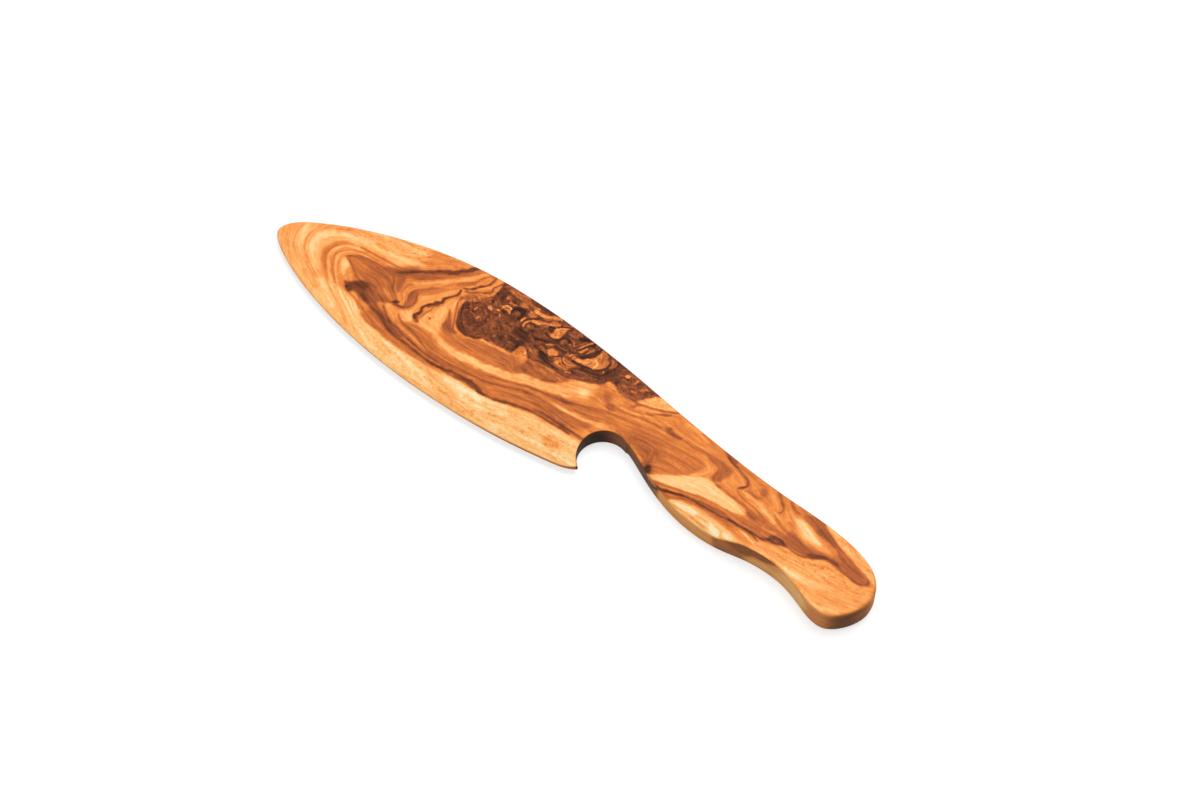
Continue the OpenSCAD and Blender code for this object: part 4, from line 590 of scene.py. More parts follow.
    line(0.19, (0.16, 0.39), (91.4, 4.5, 93, 5.2, 94, 5.6, 95, 6.1, 95.9, 6.6), 0.22, 0.95),
    area(0.55, 0.3, (80.5, 9.9, 81.5, 9.9, 82.5, 9.5, 83.4, 8.6, 84.2, 8, 84.8, 7.2, 84.5, 6, 83, 6,
        81.8, 6.4, 80.3, 6.3, 80.1, 7.5, 80.2, 8.8)),
    line(0.66, 0.45, (81.6, 8, 82.8, 7.2, 84, 6.6), 0.4, 0.8),
    line(0.78, 0.26, (82.2, 9.4, 82.9, 8.8, 83.6, 7.9, 84.3, 7.3), 0.22, 0.95),
]

NECK = [
    # honey patch ahead of the neck
    area(0.7, 0.9, (93, 3.4, 95, 5.4, 97, 7.4, 98.6, 9.2, 100.6, 10.6, 103, 11.6, 105.4, 12.2, 107.4, 11,
        107, 9, 105, 7, 102, 5.6, 98, 4.4)),
    area(0.84, 1.0, (101.6, 8.4, 103, 9.4, 104.8, 8.8, 104.4, 7.2, 102.4, 7), 0.9),
    line(0.8, 0.5, (96, 4.8, 99, 6, 102, 7.6), 0.8, 0.7),
    area(0.52, 1.6, (106, 13, 112, 14, 118, 13.4, 126, 13, 127, 10, 118, 8, 112, 7, 107, 7)),
    area(0.64, 0.9, (110.8, 12, 112, 13.2, 113.8, 12.6, 113.6, 11, 112, 10.4), 0.8),
    line(0.66, 0.5, (107.6, 13.6, 111, 13.6, 114, 13.2), 0.6, 0.7),
    area(0.4, 0.55, (107.8, 12, 109.6, 12, 110.8, 10.6, 110.2, 9.6, 108.4, 10.4)),
    area(0.36, 0.55, (110.6, 9.6, 112.6, 10, 113.4, 8.8, 112.2, 7.6, 110.6, 8.2)),
    line(0.4, 0.35, (113, 9.4, 116, 9.8, 119.6, 10.8), 0.35, 0.9),
    line(0.66, 0.35, (113.6, 10.4, 117, 10.8, 120.6, 11.8), 0.35, 0.95),
    line(0.62, 0.35, (107.4, 9, 109.6, 8.2, 112, 7.6), 0.4, 0.8),
    area(0.36, 0.4, (115.8, 12.2, 116.6, 12.2, 117.4, 13.1, 118.3, 14.2, 117.6, 14.7, 116.4, 14,
        116.6, 13.2)),
    line(0.6, 0.3, (106, 6.6, 110, 7.6, 114, 8.4, 118, 9.4, 122, 10), 0.4, 0.7),
    area(0.74, 0.35, (116.8, 14.9, 117.6, 16.4, 118.8, 18.1, 120.4, 19.6, 123.4, 19.4, 126.4, 18.5,
        124.6, 17.4, 122.6, 16.4, 120.6, 15.6, 118.6, 14.8)),
    line(0.69, 0.55, (117.2, 12.5, 118.6, 13.6, 120.4, 14.4, 122.2, 15.1, 123.8, 15.8), 0.35),
    line(0.38, 0.35, (115, 14.3, 116.6, 14.4, 117.8, 14.2), 0.35, 0.9),
    line(0.3, 0.26, (117.2, 14.3, 119.2, 14.8, 121, 15.4, 123, 16.2, 125, 17, 127.4, 18.3)),
    line(0.28, 0.34, (122.6, 16.1, 124.8, 16.9, 126.6, 17.9, 128, 18.6), 0.25, 0.8),
    line(0.34, 0.42, (120, 13.1, 121.6, 13.4, 122.6, 14.2, 123.8, 15, 125.2, 15.9, 126.8, 16.9), 0.35),
    line(0.67, 0.4, (120, 12.3, 123, 12.9, 126.6, 12.7), 0.35, 0.95),
    line(0.42, 0.4, (119.4, 11.2, 123, 11.5, 127, 12), 0.4, 0.85),
    line(0.62, 0.4, (116, 9, 119, 9.8, 122, 10.2, 126, 10.8, 130, 11), 0.35, 0.85),
    # spine side of the neck
    area(0.58, 1, (126.6, 15, 129.4, 18.6, 136, 18, 146, 16.6, 144, 14, 136, 13.4, 130, 13.8)),
    line(0.7, 0.6, (130.6, 16.6, 133, 16.8, 136, 16.6, 139.6, 15.8), 0.7, 0.8),
    line(0.47, 0.3, (127, 16, 129, 15, 132, 14.4, 136, 14, 140, 14.2), 0.5, 0.7),
    line(0.46, 0.25, (128, 17.4, 131, 15.8, 134, 15), 0.4, 0.5),
    line(0.4, 0.2, (136, 17.4, 139, 16.8, 141.4, 16), 0.4, 0.6),
    area(0.34, 0.7, (127.4, 12.6, 128.6, 13.6, 130.4, 12.9, 133, 12.7, 133.2, 11.9, 130.2, 11.2,
        128.4, 11.7)),
    line(0.22, 0.25, (130, 11.8, 131.6, 12.4, 133, 12.4), 0.35, 0.7),
    # brown tongue of heartwood in the neck
    area(0.49, 0.9, (112, 6.2, 118, 8, 124, 10, 130, 11, 135, 11.4, 139, 11, 141.6, 10.2, 143, 8.8,
        143.2, 7.6, 142, 6, 140.8, 4.4, 139, 2.8, 136.4, 1, 134, -0.8, 132.4, -2.4, 128, -1.6, 122, 1.6,
        117, 3.8, 114, 4)),
    area(0.4, 1.6, (121, 6.6, 125, 8.2, 130, 8, 131.6, 5, 131.4, 1.6, 129.4, -0.4, 126, 2, 122, 4), 0.8),
    line(0.36, 0.36, (104, 4.2, 108, 5.6, 112, 6.9, 116, 8, 119, 8.8, 122.6, 9.5), 0.35, 0.85),
    line(0.58, 0.3, (111, 5.6, 115, 6.8, 119, 7.6, 123, 8.6, 127, 9.6), 0.35, 0.7),
    area(0.53, 0.9, (127, 9.2, 132, 9.6, 137, 9.4, 141.4, 9, 142.4, 10, 138, 11, 132, 11, 128, 10.4), 0.7),
    line(0.55, 0.3, (131.4, 7.4, 135, 8, 139, 8, 141.6, 7.4), 0.4, 0.5),
    line(0.44, 0.3, (131, 6.2, 135, 6.6, 139, 6.4), 0.4, 0.5),
    line(0.55, 0.25, (132.4, 5, 136, 5.4, 139.4, 5.2), 0.35, 0.5),
    line(0.44, 0.25, (132, 3.8, 135, 4.2, 138.4, 4), 0.35, 0.5),
    line(0.52, 0.25, (132.4, 2.2, 135, 2.8, 137.4, 2.8), 0.35, 0.5),
    line(0.41, 0.2, (132, 1, 134, 1.4, 135.8, 1.4), 0.3, 0.5),
    line(0.36, 0.6, (129.6, 5.4, 130.2, 3, 130.4, 1.6), 0.9, 0.6),
    area(0.63, 0.5, (123.6, 2.6, 125.6, 2.2, 127.6, 1.4, 129, 0.3, 128.4, -0.8, 126, 0.4, 124, 1.6), 0.9),
    area(0.3, 0.8, (129.8, 1.4, 131.2, 1.6, 132.8, -0.4, 132.8, -2.4, 131, -2, 129.8, -0.4), 0.7),
    area(0.12, 0.35, (130.5, 0.8, 131.2, 0.7, 132, 0.1, 132.4, -0.8, 132.3, -1.8, 131.6, -2.2, 130.9, -1.4,
        130.4, -0.2)),
    line(0.27, 0.2, (131.5, 0, 131.5, -0.6, 131.4, -1.1), 0.3, 0.8),
    line(0.63, (0.5, 0.9), (141.8, 11, 144, 10.2, 145, 8.8, 144.2, 7.2, 143, 6, 142, 5), 0.6, 0.95),
    line(0.4, 0.5, (133, 12.3, 137, 12.3, 140.4, 12.6, 144, 12.6, 147, 12), 0.5, 0.9),
    line(0.57, 0.4, (134, 13.4, 138, 13.4, 142, 13.8, 145, 14.6), 0.5, 0.7),
    area(0.4, 0.6, (141, 12.8, 144, 13.2, 147, 13.2, 149.6, 12.6, 150, 11.2, 149.4, 9.6, 148.8, 8,
        147.6, 6.9, 146.4, 7.2, 146, 8.6, 146.2, 10, 145.2, 11, 142.4, 11.8)),
    line(0.34, 0.5, (146.4, 11, 147, 9.6, 146.8, 8.2, 147.2, 7.2), 0.5, 0.8),
    line(0.5, 0.3, (148.6, 11.8, 149.4, 10.6, 149.4, 9), 0.4, 0.6),
]

HANDLE = [
    # cream tongue
    area(0.66, 0.7, (141.4, 4.6, 142.6, 7, 143.4, 9.2, 144.4, 10.8, 145.7, 10.4, 145.7, 8.6, 145.4, 7,
        146.4, 5.6, 144, 4.2)),
    area(0.81, 0.4, (132.6, -2, 134, -0.7, 136, 0.6, 138, 1.9, 139.6, 3.2, 141.4, 4.5, 143, 5.5, 144.4, 6.2,
        146.8, 6.5, 150, 6.3, 153, 5.7, 155.4, 5.5, 157.4, 5, 159, 4.2, 159.8, 3.6, 158.4, 2.9, 156, 2.1,
        153, 1.8, 150, 1.6, 147, 1.1, 144.5, 0.2, 142, -0.4, 139.5, -1.2, 137, -1.9, 134.6, -2.5,
        133, -2.5)),
    line(0.87, (0.5, 0.9), (134.6, -1.4, 138, 0.2, 141, 1.6, 144, 2.8, 147, 3.4, 150, 3.4), 0.8, 0.8),
    line(0.74, 0.25, (150, 6, 153, 5, 156, 4.6, 158.6, 3.8), 0.4, 0.5),
    line(0.74, 0.2, (152, 2.6, 155, 3, 158, 3.2), 0.3, 0.5),
    line(0.87, 0.3, (149, 4.3, 153, 4.3, 156.6, 3.8), 0.4, 0.6),
    line(0.56, 0.15, (155.4, 5.2, 157.4, 4.7, 159.4, 3.9), 0.2, 0.6),
    # lines under the tongue
    area(0.48, 0.6, (134.6, -2.6, 138, -1.8, 141, -1, 144, -0.1, 148, 0.8, 152, 1.2, 158, 2, 164, 3.4,
        168, 1.4, 164, -1.2, 156, -1.8, 150, -2, 146, -2.4, 141, -4, 137.6, -4.4, 134, -4.4)),
    line(0.4, 0.25, (134.4, -2.7, 137, -2.1, 139.5, -1.4, 142, -0.6, 144.6, 0.1, 147, 0.9, 150, 1.4,
        153, 1.6, 157, 1.9, 161, 2.3), 0.3, 0.85),
    line(0.6, (0.3, 0.2), (135.4, -3, 138, -2.5, 141, -1.7, 144, -0.7, 147, 0.2, 150, 0.8, 154, 1.1, 158, 1,
        162, 1.3), 0.3, 0.85),
    line(0.38, 0.18, (147, -0.3, 150, 0.3, 154, 0.7, 158, 0.7), 0.25, 0.7),
    line(0.4, 0.35, (146, -1.5, 150, -1.4, 154, -1.1, 158, -0.8), 0.5, 0.8),
    line(0.07, (0.56, 0.18), (133.4, -3.3, 135, -3.9, 137, -3.7, 139, -3.1, 141, -2.5, 143, -1.8, 145, -1.3,
        147, -1, 149, -0.9, 152, -0.7, 155.4, -0.4, 157, -0.1), 0.3, 0.95, 0.03),
    line(0.28, 0.13, (145.6, -1, 148, -0.5, 150.4, -0.1, 153, 0.2, 156, 0.4, 159, 0.6), 0.22, 0.9),
    line(0.32, 0.13, (146.4, -1.4, 149, -1.5, 152, -1.2, 155, -0.9), 0.22, 0.8),
    line(0.32, 0.2, (137, -4.3, 140, -3.9, 142.6, -3, 145, -2.1, 148, -1.9, 152, -1.7, 157, -1.4,
        160, -1.1), 0.3, 0.85),
    line(0.58, 0.2, (138.4, -4.3, 141, -3.5, 143, -2.8), 0.25, 0.7),
    area(0.43, 0.8, (158, 1.4, 162, 2.4, 168, 3.4, 169, 1.4, 164, 0.6, 160, 0.6), 0.9),
    line(0.3, 0.25, (160, 1.4, 163, 1.8, 166, 2.2), 0.4, 0.6),
    line(0.55, 0.2, (161, 0.9, 164, 1.1, 167.4, 1.3), 0.3, 0.7),
    # belly
    area(0.44, 0.5, (134, -4.2, 137, -4, 140, -3.8, 143, -3.4, 143, -5.6, 139, -5.8, 136, -5.2), 0.9),
    area(0.7, 0.6, (142, -4.8, 144, -3.2, 147, -2.2, 152, -2, 158, -2.2, 163, -1.2, 168, -1.4, 175, -2,
        176, -5, 168, -6, 160, -7.6, 150, -8.4, 142, -7)),
    area(0.81, 0.5, (141.4, -4.8, 144, -3.3, 147, -2.5, 150, -2.2, 154, -2.4, 158, -2.8, 161.4, -3.4,
        163, -4.2, 160, -5.4, 157, -6.8, 150, -7, 145, -6.1, 142.6, -5.4)),
    line(0.5, 0.4, (144, -3, 147, -2.2, 150, -1.9, 156, -2, 161, -2.3, 166, -2.8), 0.4, 0.8),
    area(0.93, 0.35, (143.2, -4.5, 145.4, -3.6, 148, -3.2, 149.8, -3.5, 149.4, -4.4, 147.4, -4.8, 144.6, -5)),
    line(0.8, 0.12, (144.4, -4.4, 147, -4.1, 149.6, -3.9), 0.2, 0.6),
    line(0.64, 0.25, (142.6, -5.4, 146, -5.3, 149, -5.4, 152, -5.8, 154.4, -6.3), 0.25, 0.85),
    line(0.68, 0.3, (149.6, -4.6, 151.6, -4.2, 153.6, -4.4), 0.4, 0.7),
    line(0.58, 0.18, (146.6, -6.4, 150, -6.6, 153.4, -7), 0.22, 0.8),
    line(0.86, 0.2, (144.2, -5.8, 147, -5.9, 150, -6.1, 152.6, -6.5), 0.2, 0.7),
    line(0.66, 0.12, (150, -3, 153, -3.1, 155.4, -3.6), 0.2, 0.6),
    area(0.94, 0.4, (153.8, -3.5, 155.2, -4, 157, -4.4, 158.2, -5, 158.2, -6, 156.6, -6.5, 155.3, -6.1,
        154.6, -4.9)),
    area(0.91, 0.4, (158.6, -3.9, 160.4, -3.8, 161.6, -4.3, 160.6, -5, 159, -5.4, 158.4, -4.6)),
    line(0.72, 0.15, (158, -3.4, 158.4, -4.6, 158.7, -5.6), 0.2, 0.6),
    area(0.6, 0.6, (160, -2.3, 164, -2.2, 168, -2.8, 167, -3.6, 163, -3.8), 0.8),
    line(0.86, 0.3, (160.8, -0.9, 163.4, -1.2, 166, -1.9, 169.6, -2.2, 173, -2.5, 178, -2.9), 0.3, 0.9),
    line(0.5, 0.15, (161, -1.6, 164, -1.9, 167, -2.6), 0.25, 0.7),
    line(0.1, (0.2, 0.44), (156.6, -0.1, 158.6, 0, 161, 0.1, 164, 0.2, 167, 0.4, 169, 0.7), 0.3, 0.95, 0.04),
    line(0.24, 0.3, (164.4, 0, 166, -0.6, 167.4, -1.2), 0.35, 0.9),
    # spine side of the handle
    area(0.57, 1.0, (144, 15.8, 150, 16.4, 160, 15.6, 176, 15.4, 178, 13, 172, 10, 164, 8.6, 156, 7.4,
        150, 8, 150, 12, 146, 14)),
    area(0.62, 0.8, (150.2, 12.8, 153, 12.4, 154.4, 11, 153.6, 9, 151, 7.8, 149.8, 9.4), 0.8),
    line(0.33, 0.5, (144.6, 16.2, 147, 15.6, 149.4, 15.2), 0.5, 0.8),
    area(0.32, 0.5, (144.2, 16.6, 148, 15.9, 148.6, 14.9, 146.6, 15.1), 0.9),
    line(0.2, (0.2, 0.34), (145.4, 15.5, 147, 14.9, 149, 14.2, 151, 13.7, 153, 13, 154.3, 12.4, 155, 11.6,
        155.1, 10.8, 154.6, 10, 153.9, 9.3, 153.4, 8.6), 0.3, 0.95, 0.05),
    line(0.36, 0.16, (153.4, 8.7, 154.4, 7.9, 156, 7.4, 158.4, 6.9, 161.4, 6.6, 164.6, 5.9), 0.25, 0.85),
    line(0.48, 0.4, (149, 15, 153, 14.6, 157, 14.2), 0.5, 0.6),
    area(0.4, 0.6, (158.8, 13.2, 160.4, 12.9, 160.8, 11.4, 159.8, 10.8, 159, 11.6)),
    area(0.44, 0.5, (156.6, 10.3, 158.6, 10.2, 160.4, 10.4, 160, 9.5, 158, 9.3, 156.4, 9.5)),
    line(0.44, 0.3, (156.8, 13.2, 158.6, 13.5, 160.4, 13.1), 0.4, 0.7),
    line(0.45, 0.25, (157.4, 11.8, 158.2, 11.2), 0.35, 0.7),
    line(0.45, 0.3, (155.6, 12, 155.9, 10.8, 155.8, 9.8), 0.4, 0.6),
    line(0.63, 0.8, (161.6, 13, 163.6, 11.6, 164.4, 10, 163, 9), 0.7, 0.8),
    line(0.74, (0.5, 0.7), (154.6, 9, 157.6, 8.9, 160.6, 8.5, 163.6, 7.6, 166, 6.8, 168, 6.1), 0.45),
    line(0.36, 0.4, (147.6, 6.8, 150, 6.6, 153, 6.1, 156, 5.9, 158.6, 5.5, 160.2, 4.6, 162, 4), 0.4, 0.9),
    area(0.42, 0.8, (159.4, 5.4, 163, 6.2, 168, 5.2, 173, 5, 173, 3.4, 169, 3.4, 164, 3, 160.4, 3.6)),
    line(0.26, 0.35, (159.6, 4.6, 161, 4.1, 163, 4), 0.45, 0.8),
    line(0.58, 0.3, (165, 4.6, 168, 4.1, 171, 4.4), 0.4, 0.6),
    line(0.68, 0.35, (165, 3.6, 167, 3.4, 169.4, 4), 0.35, 0.6),
    line(0.28, (0.5, 0.25), (162.4, 14.8, 163.8, 13.6, 165.4, 12.4, 166.5, 11.3, 166.8, 10.3,
        166.2, 9.2), 0.35, 0.9, 0.05),
    line(0.36, (0.45, 0.3), (166.6, 14.8, 168.4, 13.2, 170.4, 12.4, 173.4, 11.8, 176.4, 11.2,
        179, 10.6), 0.4, 0.9, 0.05),
    line(0.64, 0.8, (168, 11.6, 169.4, 10, 171, 8.8), 0.7, 0.8),
    line(0.38, 0.3, (165, 8.4, 167, 7.4, 168.6, 6.5, 171, 6, 173.4, 5.4, 176, 5), 0.4, 0.85),
    line(0.42, 0.4, (169.6, 8.9, 171, 8.2, 172.4, 7.6), 0.5, 0.8),
    line(0.5, 0.5, (169, 14.2, 173, 13.6, 177, 13.4), 0.6, 0.7),
    # cream spot and the brown round it
    area(0.62, 0.7, (169.6, 10.4, 171, 12.2, 174, 11.8, 178, 10.4, 182.6, 9.4, 184, 8, 182, 6.8, 177, 6.2,
        173.4, 7.2, 171, 9)),
    area(0.4, 0.7, (172, 7, 174.4, 6.4, 178, 5.9, 182.4, 6.6, 184, 6.6, 182, 4.8, 179, 3, 175, 2.6,
        172.6, 3.2, 171.6, 4.8)),
    area(0.84, 0.7, (171, 10.9, 172.4, 11.4, 174.6, 10.8, 177, 9.9, 179.2, 9.1, 180.6, 8.3, 180, 7.5,
        178, 7.1, 176, 7.2, 174, 8, 172.4, 9.1, 171.2, 10)),
    line(0.87, 0.5, (174, 9.6, 176.4, 8.6, 178.6, 8.1), 0.6, 0.6),
    line(0.32, 0.5, (173.6, 4.6, 176, 4.4, 178.4, 4.2), 0.6, 0.7),
    line(0.3, 0.2, (172.6, 6.6, 174.6, 6, 176.6, 5.2, 178.6, 4.7), 0.3, 0.8),
    area(0.42, 0.6, (177, 14.6, 179, 12.9, 181.6, 11.8, 184, 10.7, 187, 9.7, 190, 8.9, 193, 8.1, 195.6, 7.2,
        196.6, 6, 195.8, 5, 193, 4.5, 189, 4.9, 185.6, 5.4, 184.4, 7.2, 185.4, 8.6, 182, 9.9, 178, 10.8,
        175, 11.6, 172, 12.6, 173, 13.6)),
    area(0.34, 0.6, (177.6, 12, 179.6, 12, 182, 11.3, 184.4, 10.2, 183.6, 9.6, 181.6, 10.1, 179, 10.2,
        177, 10.9)),
    line(0.31, 0.2, (177.2, 14.2, 178.4, 13.3, 180, 12.3, 182, 11.5, 184.4, 10.5, 187, 9.7), 0.35, 0.7),
    line(0.33, 0.35, (184, 9.9, 185.4, 9, 186.8, 8.4, 188.4, 7.8), 0.4, 0.8),
    area(0.56, 0.6, (183.8, 8.6, 185.4, 8.2, 187.4, 7.4, 187, 6.9, 185, 7, 183.6, 7.6), 0.8),
    line(0.37, 0.6, (189, 7.6, 191.6, 7.2, 194, 6.6), 0.8, 0.6),
    line(0.34, 0.4, (195.4, 6.9, 196.2, 6, 195.6, 5.2), 0.4, 0.8),
    line(0.3, 0.2, (187, 5.4, 189, 5, 191, 4.7, 193.4, 4.4, 194.8, 4.7, 195.6, 5.2), 0.3, 0.85),
    # dark vein under it
    area(0.22, 0.4, (167.6, 0.3, 168.2, 1.6, 168.4, 2.8, 169.4, 3.1, 170.6, 3.4, 172, 3.1, 173.6, 2.7,
        173.2, 2, 172.2, 1.6, 171.4, 0.9, 170, 0.4, 168.8, 0)),
    line(0.12, 0.28, (168.8, 2.8, 170.4, 3.1, 172, 2.8, 173.2, 2.5), 0.3, 0.8),
    line(0.34, 0.35, (169.8, 2.2, 171.2, 1.9), 0.4, 0.8),
    line(0.08, 0.3, (168.6, 1.2, 169, 2), 0.3, 0.7),
    line(0.3, 0.15, (170.4, 0.9, 171.4, 1.4), 0.25, 0.7),
    line(0.22, 0.2, (173.2, 2.5, 174.8, 2.4, 176.4, 2.3, 178, 2.5, 179.4, 3, 180.4, 3.4), 0.3, 0.95),
    area(0.25, 0.4, (179.2, 3.6, 179.4, 4.4, 180.6, 4.9, 182, 5.7, 183.4, 6.3, 185, 6.6, 187, 6.4,
        187.4, 5.7, 185.6, 5.3, 183.8, 5.2, 182.4, 4.4, 181.4, 3.6, 180.4, 3.2)),
    line(0.15, 0.4, (181.6, 4.9, 182.8, 5.5, 184, 6), 0.4, 0.8),
    line(0.33, 0.3, (184.8, 6, 186.4, 6), 0.4, 0.7),
    line(0.33, 0.2, (180, 3.9, 181, 4.1), 0.3, 0.7),
    # sapwood of the butt
    area(0.73, 0.5, (178, 14.2, 179.6, 12.8, 182, 11.9, 184.4, 10.9, 187.4, 9.8, 190.4, 9, 193.4, 8.2,
        196, 7.2, 198.4, 6, 199, 9, 192, 13.4, 182, 16)),
    line(0.84, 0.4, (179, 13.8, 181, 13.6, 183, 12.8), 0.5, 0.8),
    line(0.82, 0.4, (184, 11.8, 187, 10.8, 189.6, 10), 0.5, 0.6),
    line(0.6, 0.25, (185, 13, 187.4, 12, 190, 10.6), 0.4, 0.6),
    area(0.7, 0.5, (168, 0.2, 171, 1, 174, 1.8, 177, 1.9, 179.6, 2.6, 181.4, 3.4, 183, 4.5, 186, 4.8,
        190, 4.3, 194, 4.1, 196.6, 5, 199, 5, 201, 0, 197, -8, 190, -10, 182, -7.6, 174, -5.6, 168, -5.6,
        166, -3)),
    area(0.81, 0.9, (175.6, -2.4, 179, -2.2, 183, -1.8, 187, -1.6, 188, -2.6, 184, -3.6, 180, -3.9,
        177.6, -3.6), 0.85),
    line(0.85, 0.4, (176.4, -2.8, 179, -3.2, 181.6, -3), 0.5, 0.6),
    line(0.62, 0.4, (187.4, -4.6, 190.6, -4, 194, -3.4, 196.4, -2.6), 0.5, 0.7),
    line(0.64, 0.25, (187, -3, 191, -2.5, 195, -1.8, 197.6, -1), 0.3, 0.7),
    line(0.83, 0.5, (183, -5.4, 186, -6.6, 189, -7.2, 192, -6.9), 0.5, 0.8),
    line(0.82, 0.6, (190.6, -6, 193, -5.6, 195, -4.9), 0.6, 0.7),
    line(0.66, 0.4, (186, -5.6, 189, -5.6, 192, -4.8), 0.5, 0.6),
    line(0.62, 0.3, (186.6, 0.1, 190, 0.6, 193, 1.3, 196.4, 2.3), 0.35, 0.7),
    line(0.66, 0.2, (189, 2, 193, 2.6, 197, 3.6), 0.3, 0.6),
    line(0.63, 0.3, (170, -1.2, 174, -0.6, 178, -0.2, 182, 0.2), 0.4, 0.6),
    line(0.63, 0.25, (169.4, 0.2, 172, 0.6, 175, 1), 0.4, 0.6),
    line(0.62, 0.3, (181, 2.4, 184, 3.4, 188, 3.6, 192, 3.2), 0.4, 0.6),
    line(0.66, 0.3, (172, -3, 176, -3.6, 180, -4.6, 184, -5.6), 0.4, 0.6),
]

BURL_ZONE = (59, 12, 61, 6, 66, 3, 72, 5, 80, 6.5, 85, 7.5, 96, 8.5, 106, 13, 118, 15, 122, 21, 100, 26,
    70, 26, 62, 20)

# patches of short dark ticks in the sapwood
FLECKED = [
    (40, -10, 60, -11, 80, -9.6, 95, -6.4, 112, -5, 113, -10, 100, -14, 80, -16, 60, -16.5, 44, -14.5),
    (20, 14, 30, 19, 44, 22.5, 50, 22, 46, 18, 40, 14.5, 30, 12.6, 22, 11.6),
    (170, 0.4, 176, 1.6, 181, 3, 185, 4.8, 194, 4.2, 197, 2, 188, -0.6, 178, -1.2),
    (182, 12.4, 186, 10.8, 191, 9, 196, 7.6, 195, 10, 190, 11.8, 184, 13.2),
]

# the wall below the lower outline, unrolled: x along the knife, y up from the table
SIDE_TONE = 0.74
SIDE = [
    # dark notch and neck: the wood's end grain, with painted shade added in the notch's recess
    area(0.25, 1.0, (107, -2, 107, 9, 133, 9, 133.6, -2)),
    # painted shade: the hook's side of the notch is darkest
    area(0.06, 2.2, (105, -2, 105, 9, 114.4, 9, 114.8, -2)),
    line(0.4, 0.6, (117.6, 6.2, 121, 6, 126, 5.4), 0.6, 0.7),
    area(0.38, 1.0, (134, -2, 135, 8, 140.4, 8, 139, -2), 0.9),
    area(0.2, 0.5, (128.6, -2, 129, 8, 131.4, 8, 132, 4, 133.4, -2), 0.9),
    line(0.74, 0.5, (131.7, 5.6, 132.6, 4.7, 133.3, 4), 0.4),
    area(0.54, 0.4, (133, 4.4, 134.4, 3.8, 136, 5, 138.4, 6, 140, 8, 132, 8)),
    line(0.03, 0.5, (132.4, 4.2, 133.4, 3.5, 134.4, 3.2, 136, 4.4, 138.4, 5.6), 0.35),
    # belly
    area(0.7, 1.4, (139, -2, 139, 8, 158.4, 8, 158.4, -2)),
    line(0.74, 0.4, (141, 3.2, 146, 3.8, 152, 3.4), 0.6, 0.7),
    line(0.54, 0.3, (140, 1.6, 147, 1.4, 154, 1.2), 0.4, 0.7),
    area(0.46, 0.8, (157.6, -2, 157.2, 9, 168, 9, 164, -2)),
    # waist, dark above and light below
    area(0.37, 0.8, (162, 4.4, 166, 4.1, 170, 4.4, 172.6, 5.4, 175.6, 9, 160, 9)),
    line(0.84, (0.6, 1.1), (164, 1.8, 168, 1.9, 171, 2.1, 174, 2.6, 178, 3, 184, 3.4, 188, 3), 0.7),
    line(0.56, 0.35, (160, 0.5, 166, 0.6, 172, 0.7, 180, 0.8, 190, 0.9), 0.4, 0.8),
    area(0.86, 1.5, (175, -1, 177, 6, 185, 6, 185, -1), 0.55),
    # end grain round the butt
    area(0.6, 2.0, (187.4, -2, 189, 9, 198, 9, 198, -2)),
    area(0.29, 2.2, (195.6, -2, 195.4, 9, 206, 9, 206, -2)),
    line(0.5, 0.8, (199.2, 0, 199.6, 8), 0.8, 0.8),
]

MARKS = TIP + SAP + HEART + LOWER_BANDS + BURL + NECK + HANDLE


# Drawing the figure

# how a vein's width and strength change along it, each with the size of its patches in millimetres
WIDTH_CHANGE, WIDTH_PATCH = 0.45, 1.3
STRENGTH_MEAN, STRENGTH_CHANGE, STRENGTH_PATCH = 0.86, 0.2, 2.1
ELSEWHERE = 40  # lattice steps to another stretch of the same speckle

# how far the drawn lines wander in millimetres, what the burl adds, and the length and width of the patches
WANDER_SEEDS = (11, 12, 13, 14)
WIDE_WANDER, WIDE_BURL, WIDE_PATCH = 0.12, 0.05, (2.2, 1.6)
FINE_WANDER, FINE_BURL, FINE_PATCH = 0.06, 0.02, (0.8, 0.7)

# mottling of the burl: its swirl in millimetres, and two layers, each with its patches
SWIRL, SWIRL_PATCH = 0.9, (1.5, 1.3)
LARGE_MOTTLE, LARGE_PATCH = 0.5, (1.1, 0.9)
SMALL_MOTTLE, SMALL_PATCH = 0.8, (0.42, 0.38)
MOTTLE_STRENGTH = 0.13

# fibres: seed, width and reach in millimetres, and for the ticks the number of steps
SHORT_FIBRES, LONG_FIBRES, LONG_SHARE = (21, 0.24, 1.6), (22, 0.5, 3.5), 0.7
FIBRE_STRENGTH, PALE_CUT = 0.03, 0.01
TICKS, TICK_START, TICK_STRENGTH, FLECK_STRENGTH = (23, 0.3, 0.3, 3), 0.3, 0.025, 0.05

# tones over which pale wood, light wood and all but the darkest wood begin: start and run
PALE, LIGHT, NOT_BLACK = (0.72, 0.12), (0.5, 0.15), (0.02, 0.22)


def rounded(points, closed=False, step=0.5):
    """A smooth curve through the points."""
    p = pairs(points)
    if len(p) < 3 and not closed:
        n = max(2, int(np.linalg.norm(p[-1] - p[0]) / step))
        return p[0] + np.linspace(0, 1, n + 1)[:, None] * (p[-1] - p[0])
    if closed:
        q = np.vstack([p[-1], p, p[0], p[1]])
    else:
        q = np.vstack([2 * p[0] - p[1], p, 2 * p[-1] - p[-2]])
    out = []
    for a, b, c, d in zip(q[:-3], q[1:-2], q[2:-1], q[3:]):
        n = max(2, int(np.linalg.norm(c - b) / step))
        t = np.linspace(0, 1, n, endpoint=False)[:, None]
        cubic = (3 * b - a - 3 * c + d) * t**3 + (2 * a - 5 * b + 4 * c - d) * t**2
        out.append(0.5 * (2 * b + (c - a) * t + cubic))
    if not closed:
        out.append(p[-1:])
    return np.vstack(out)


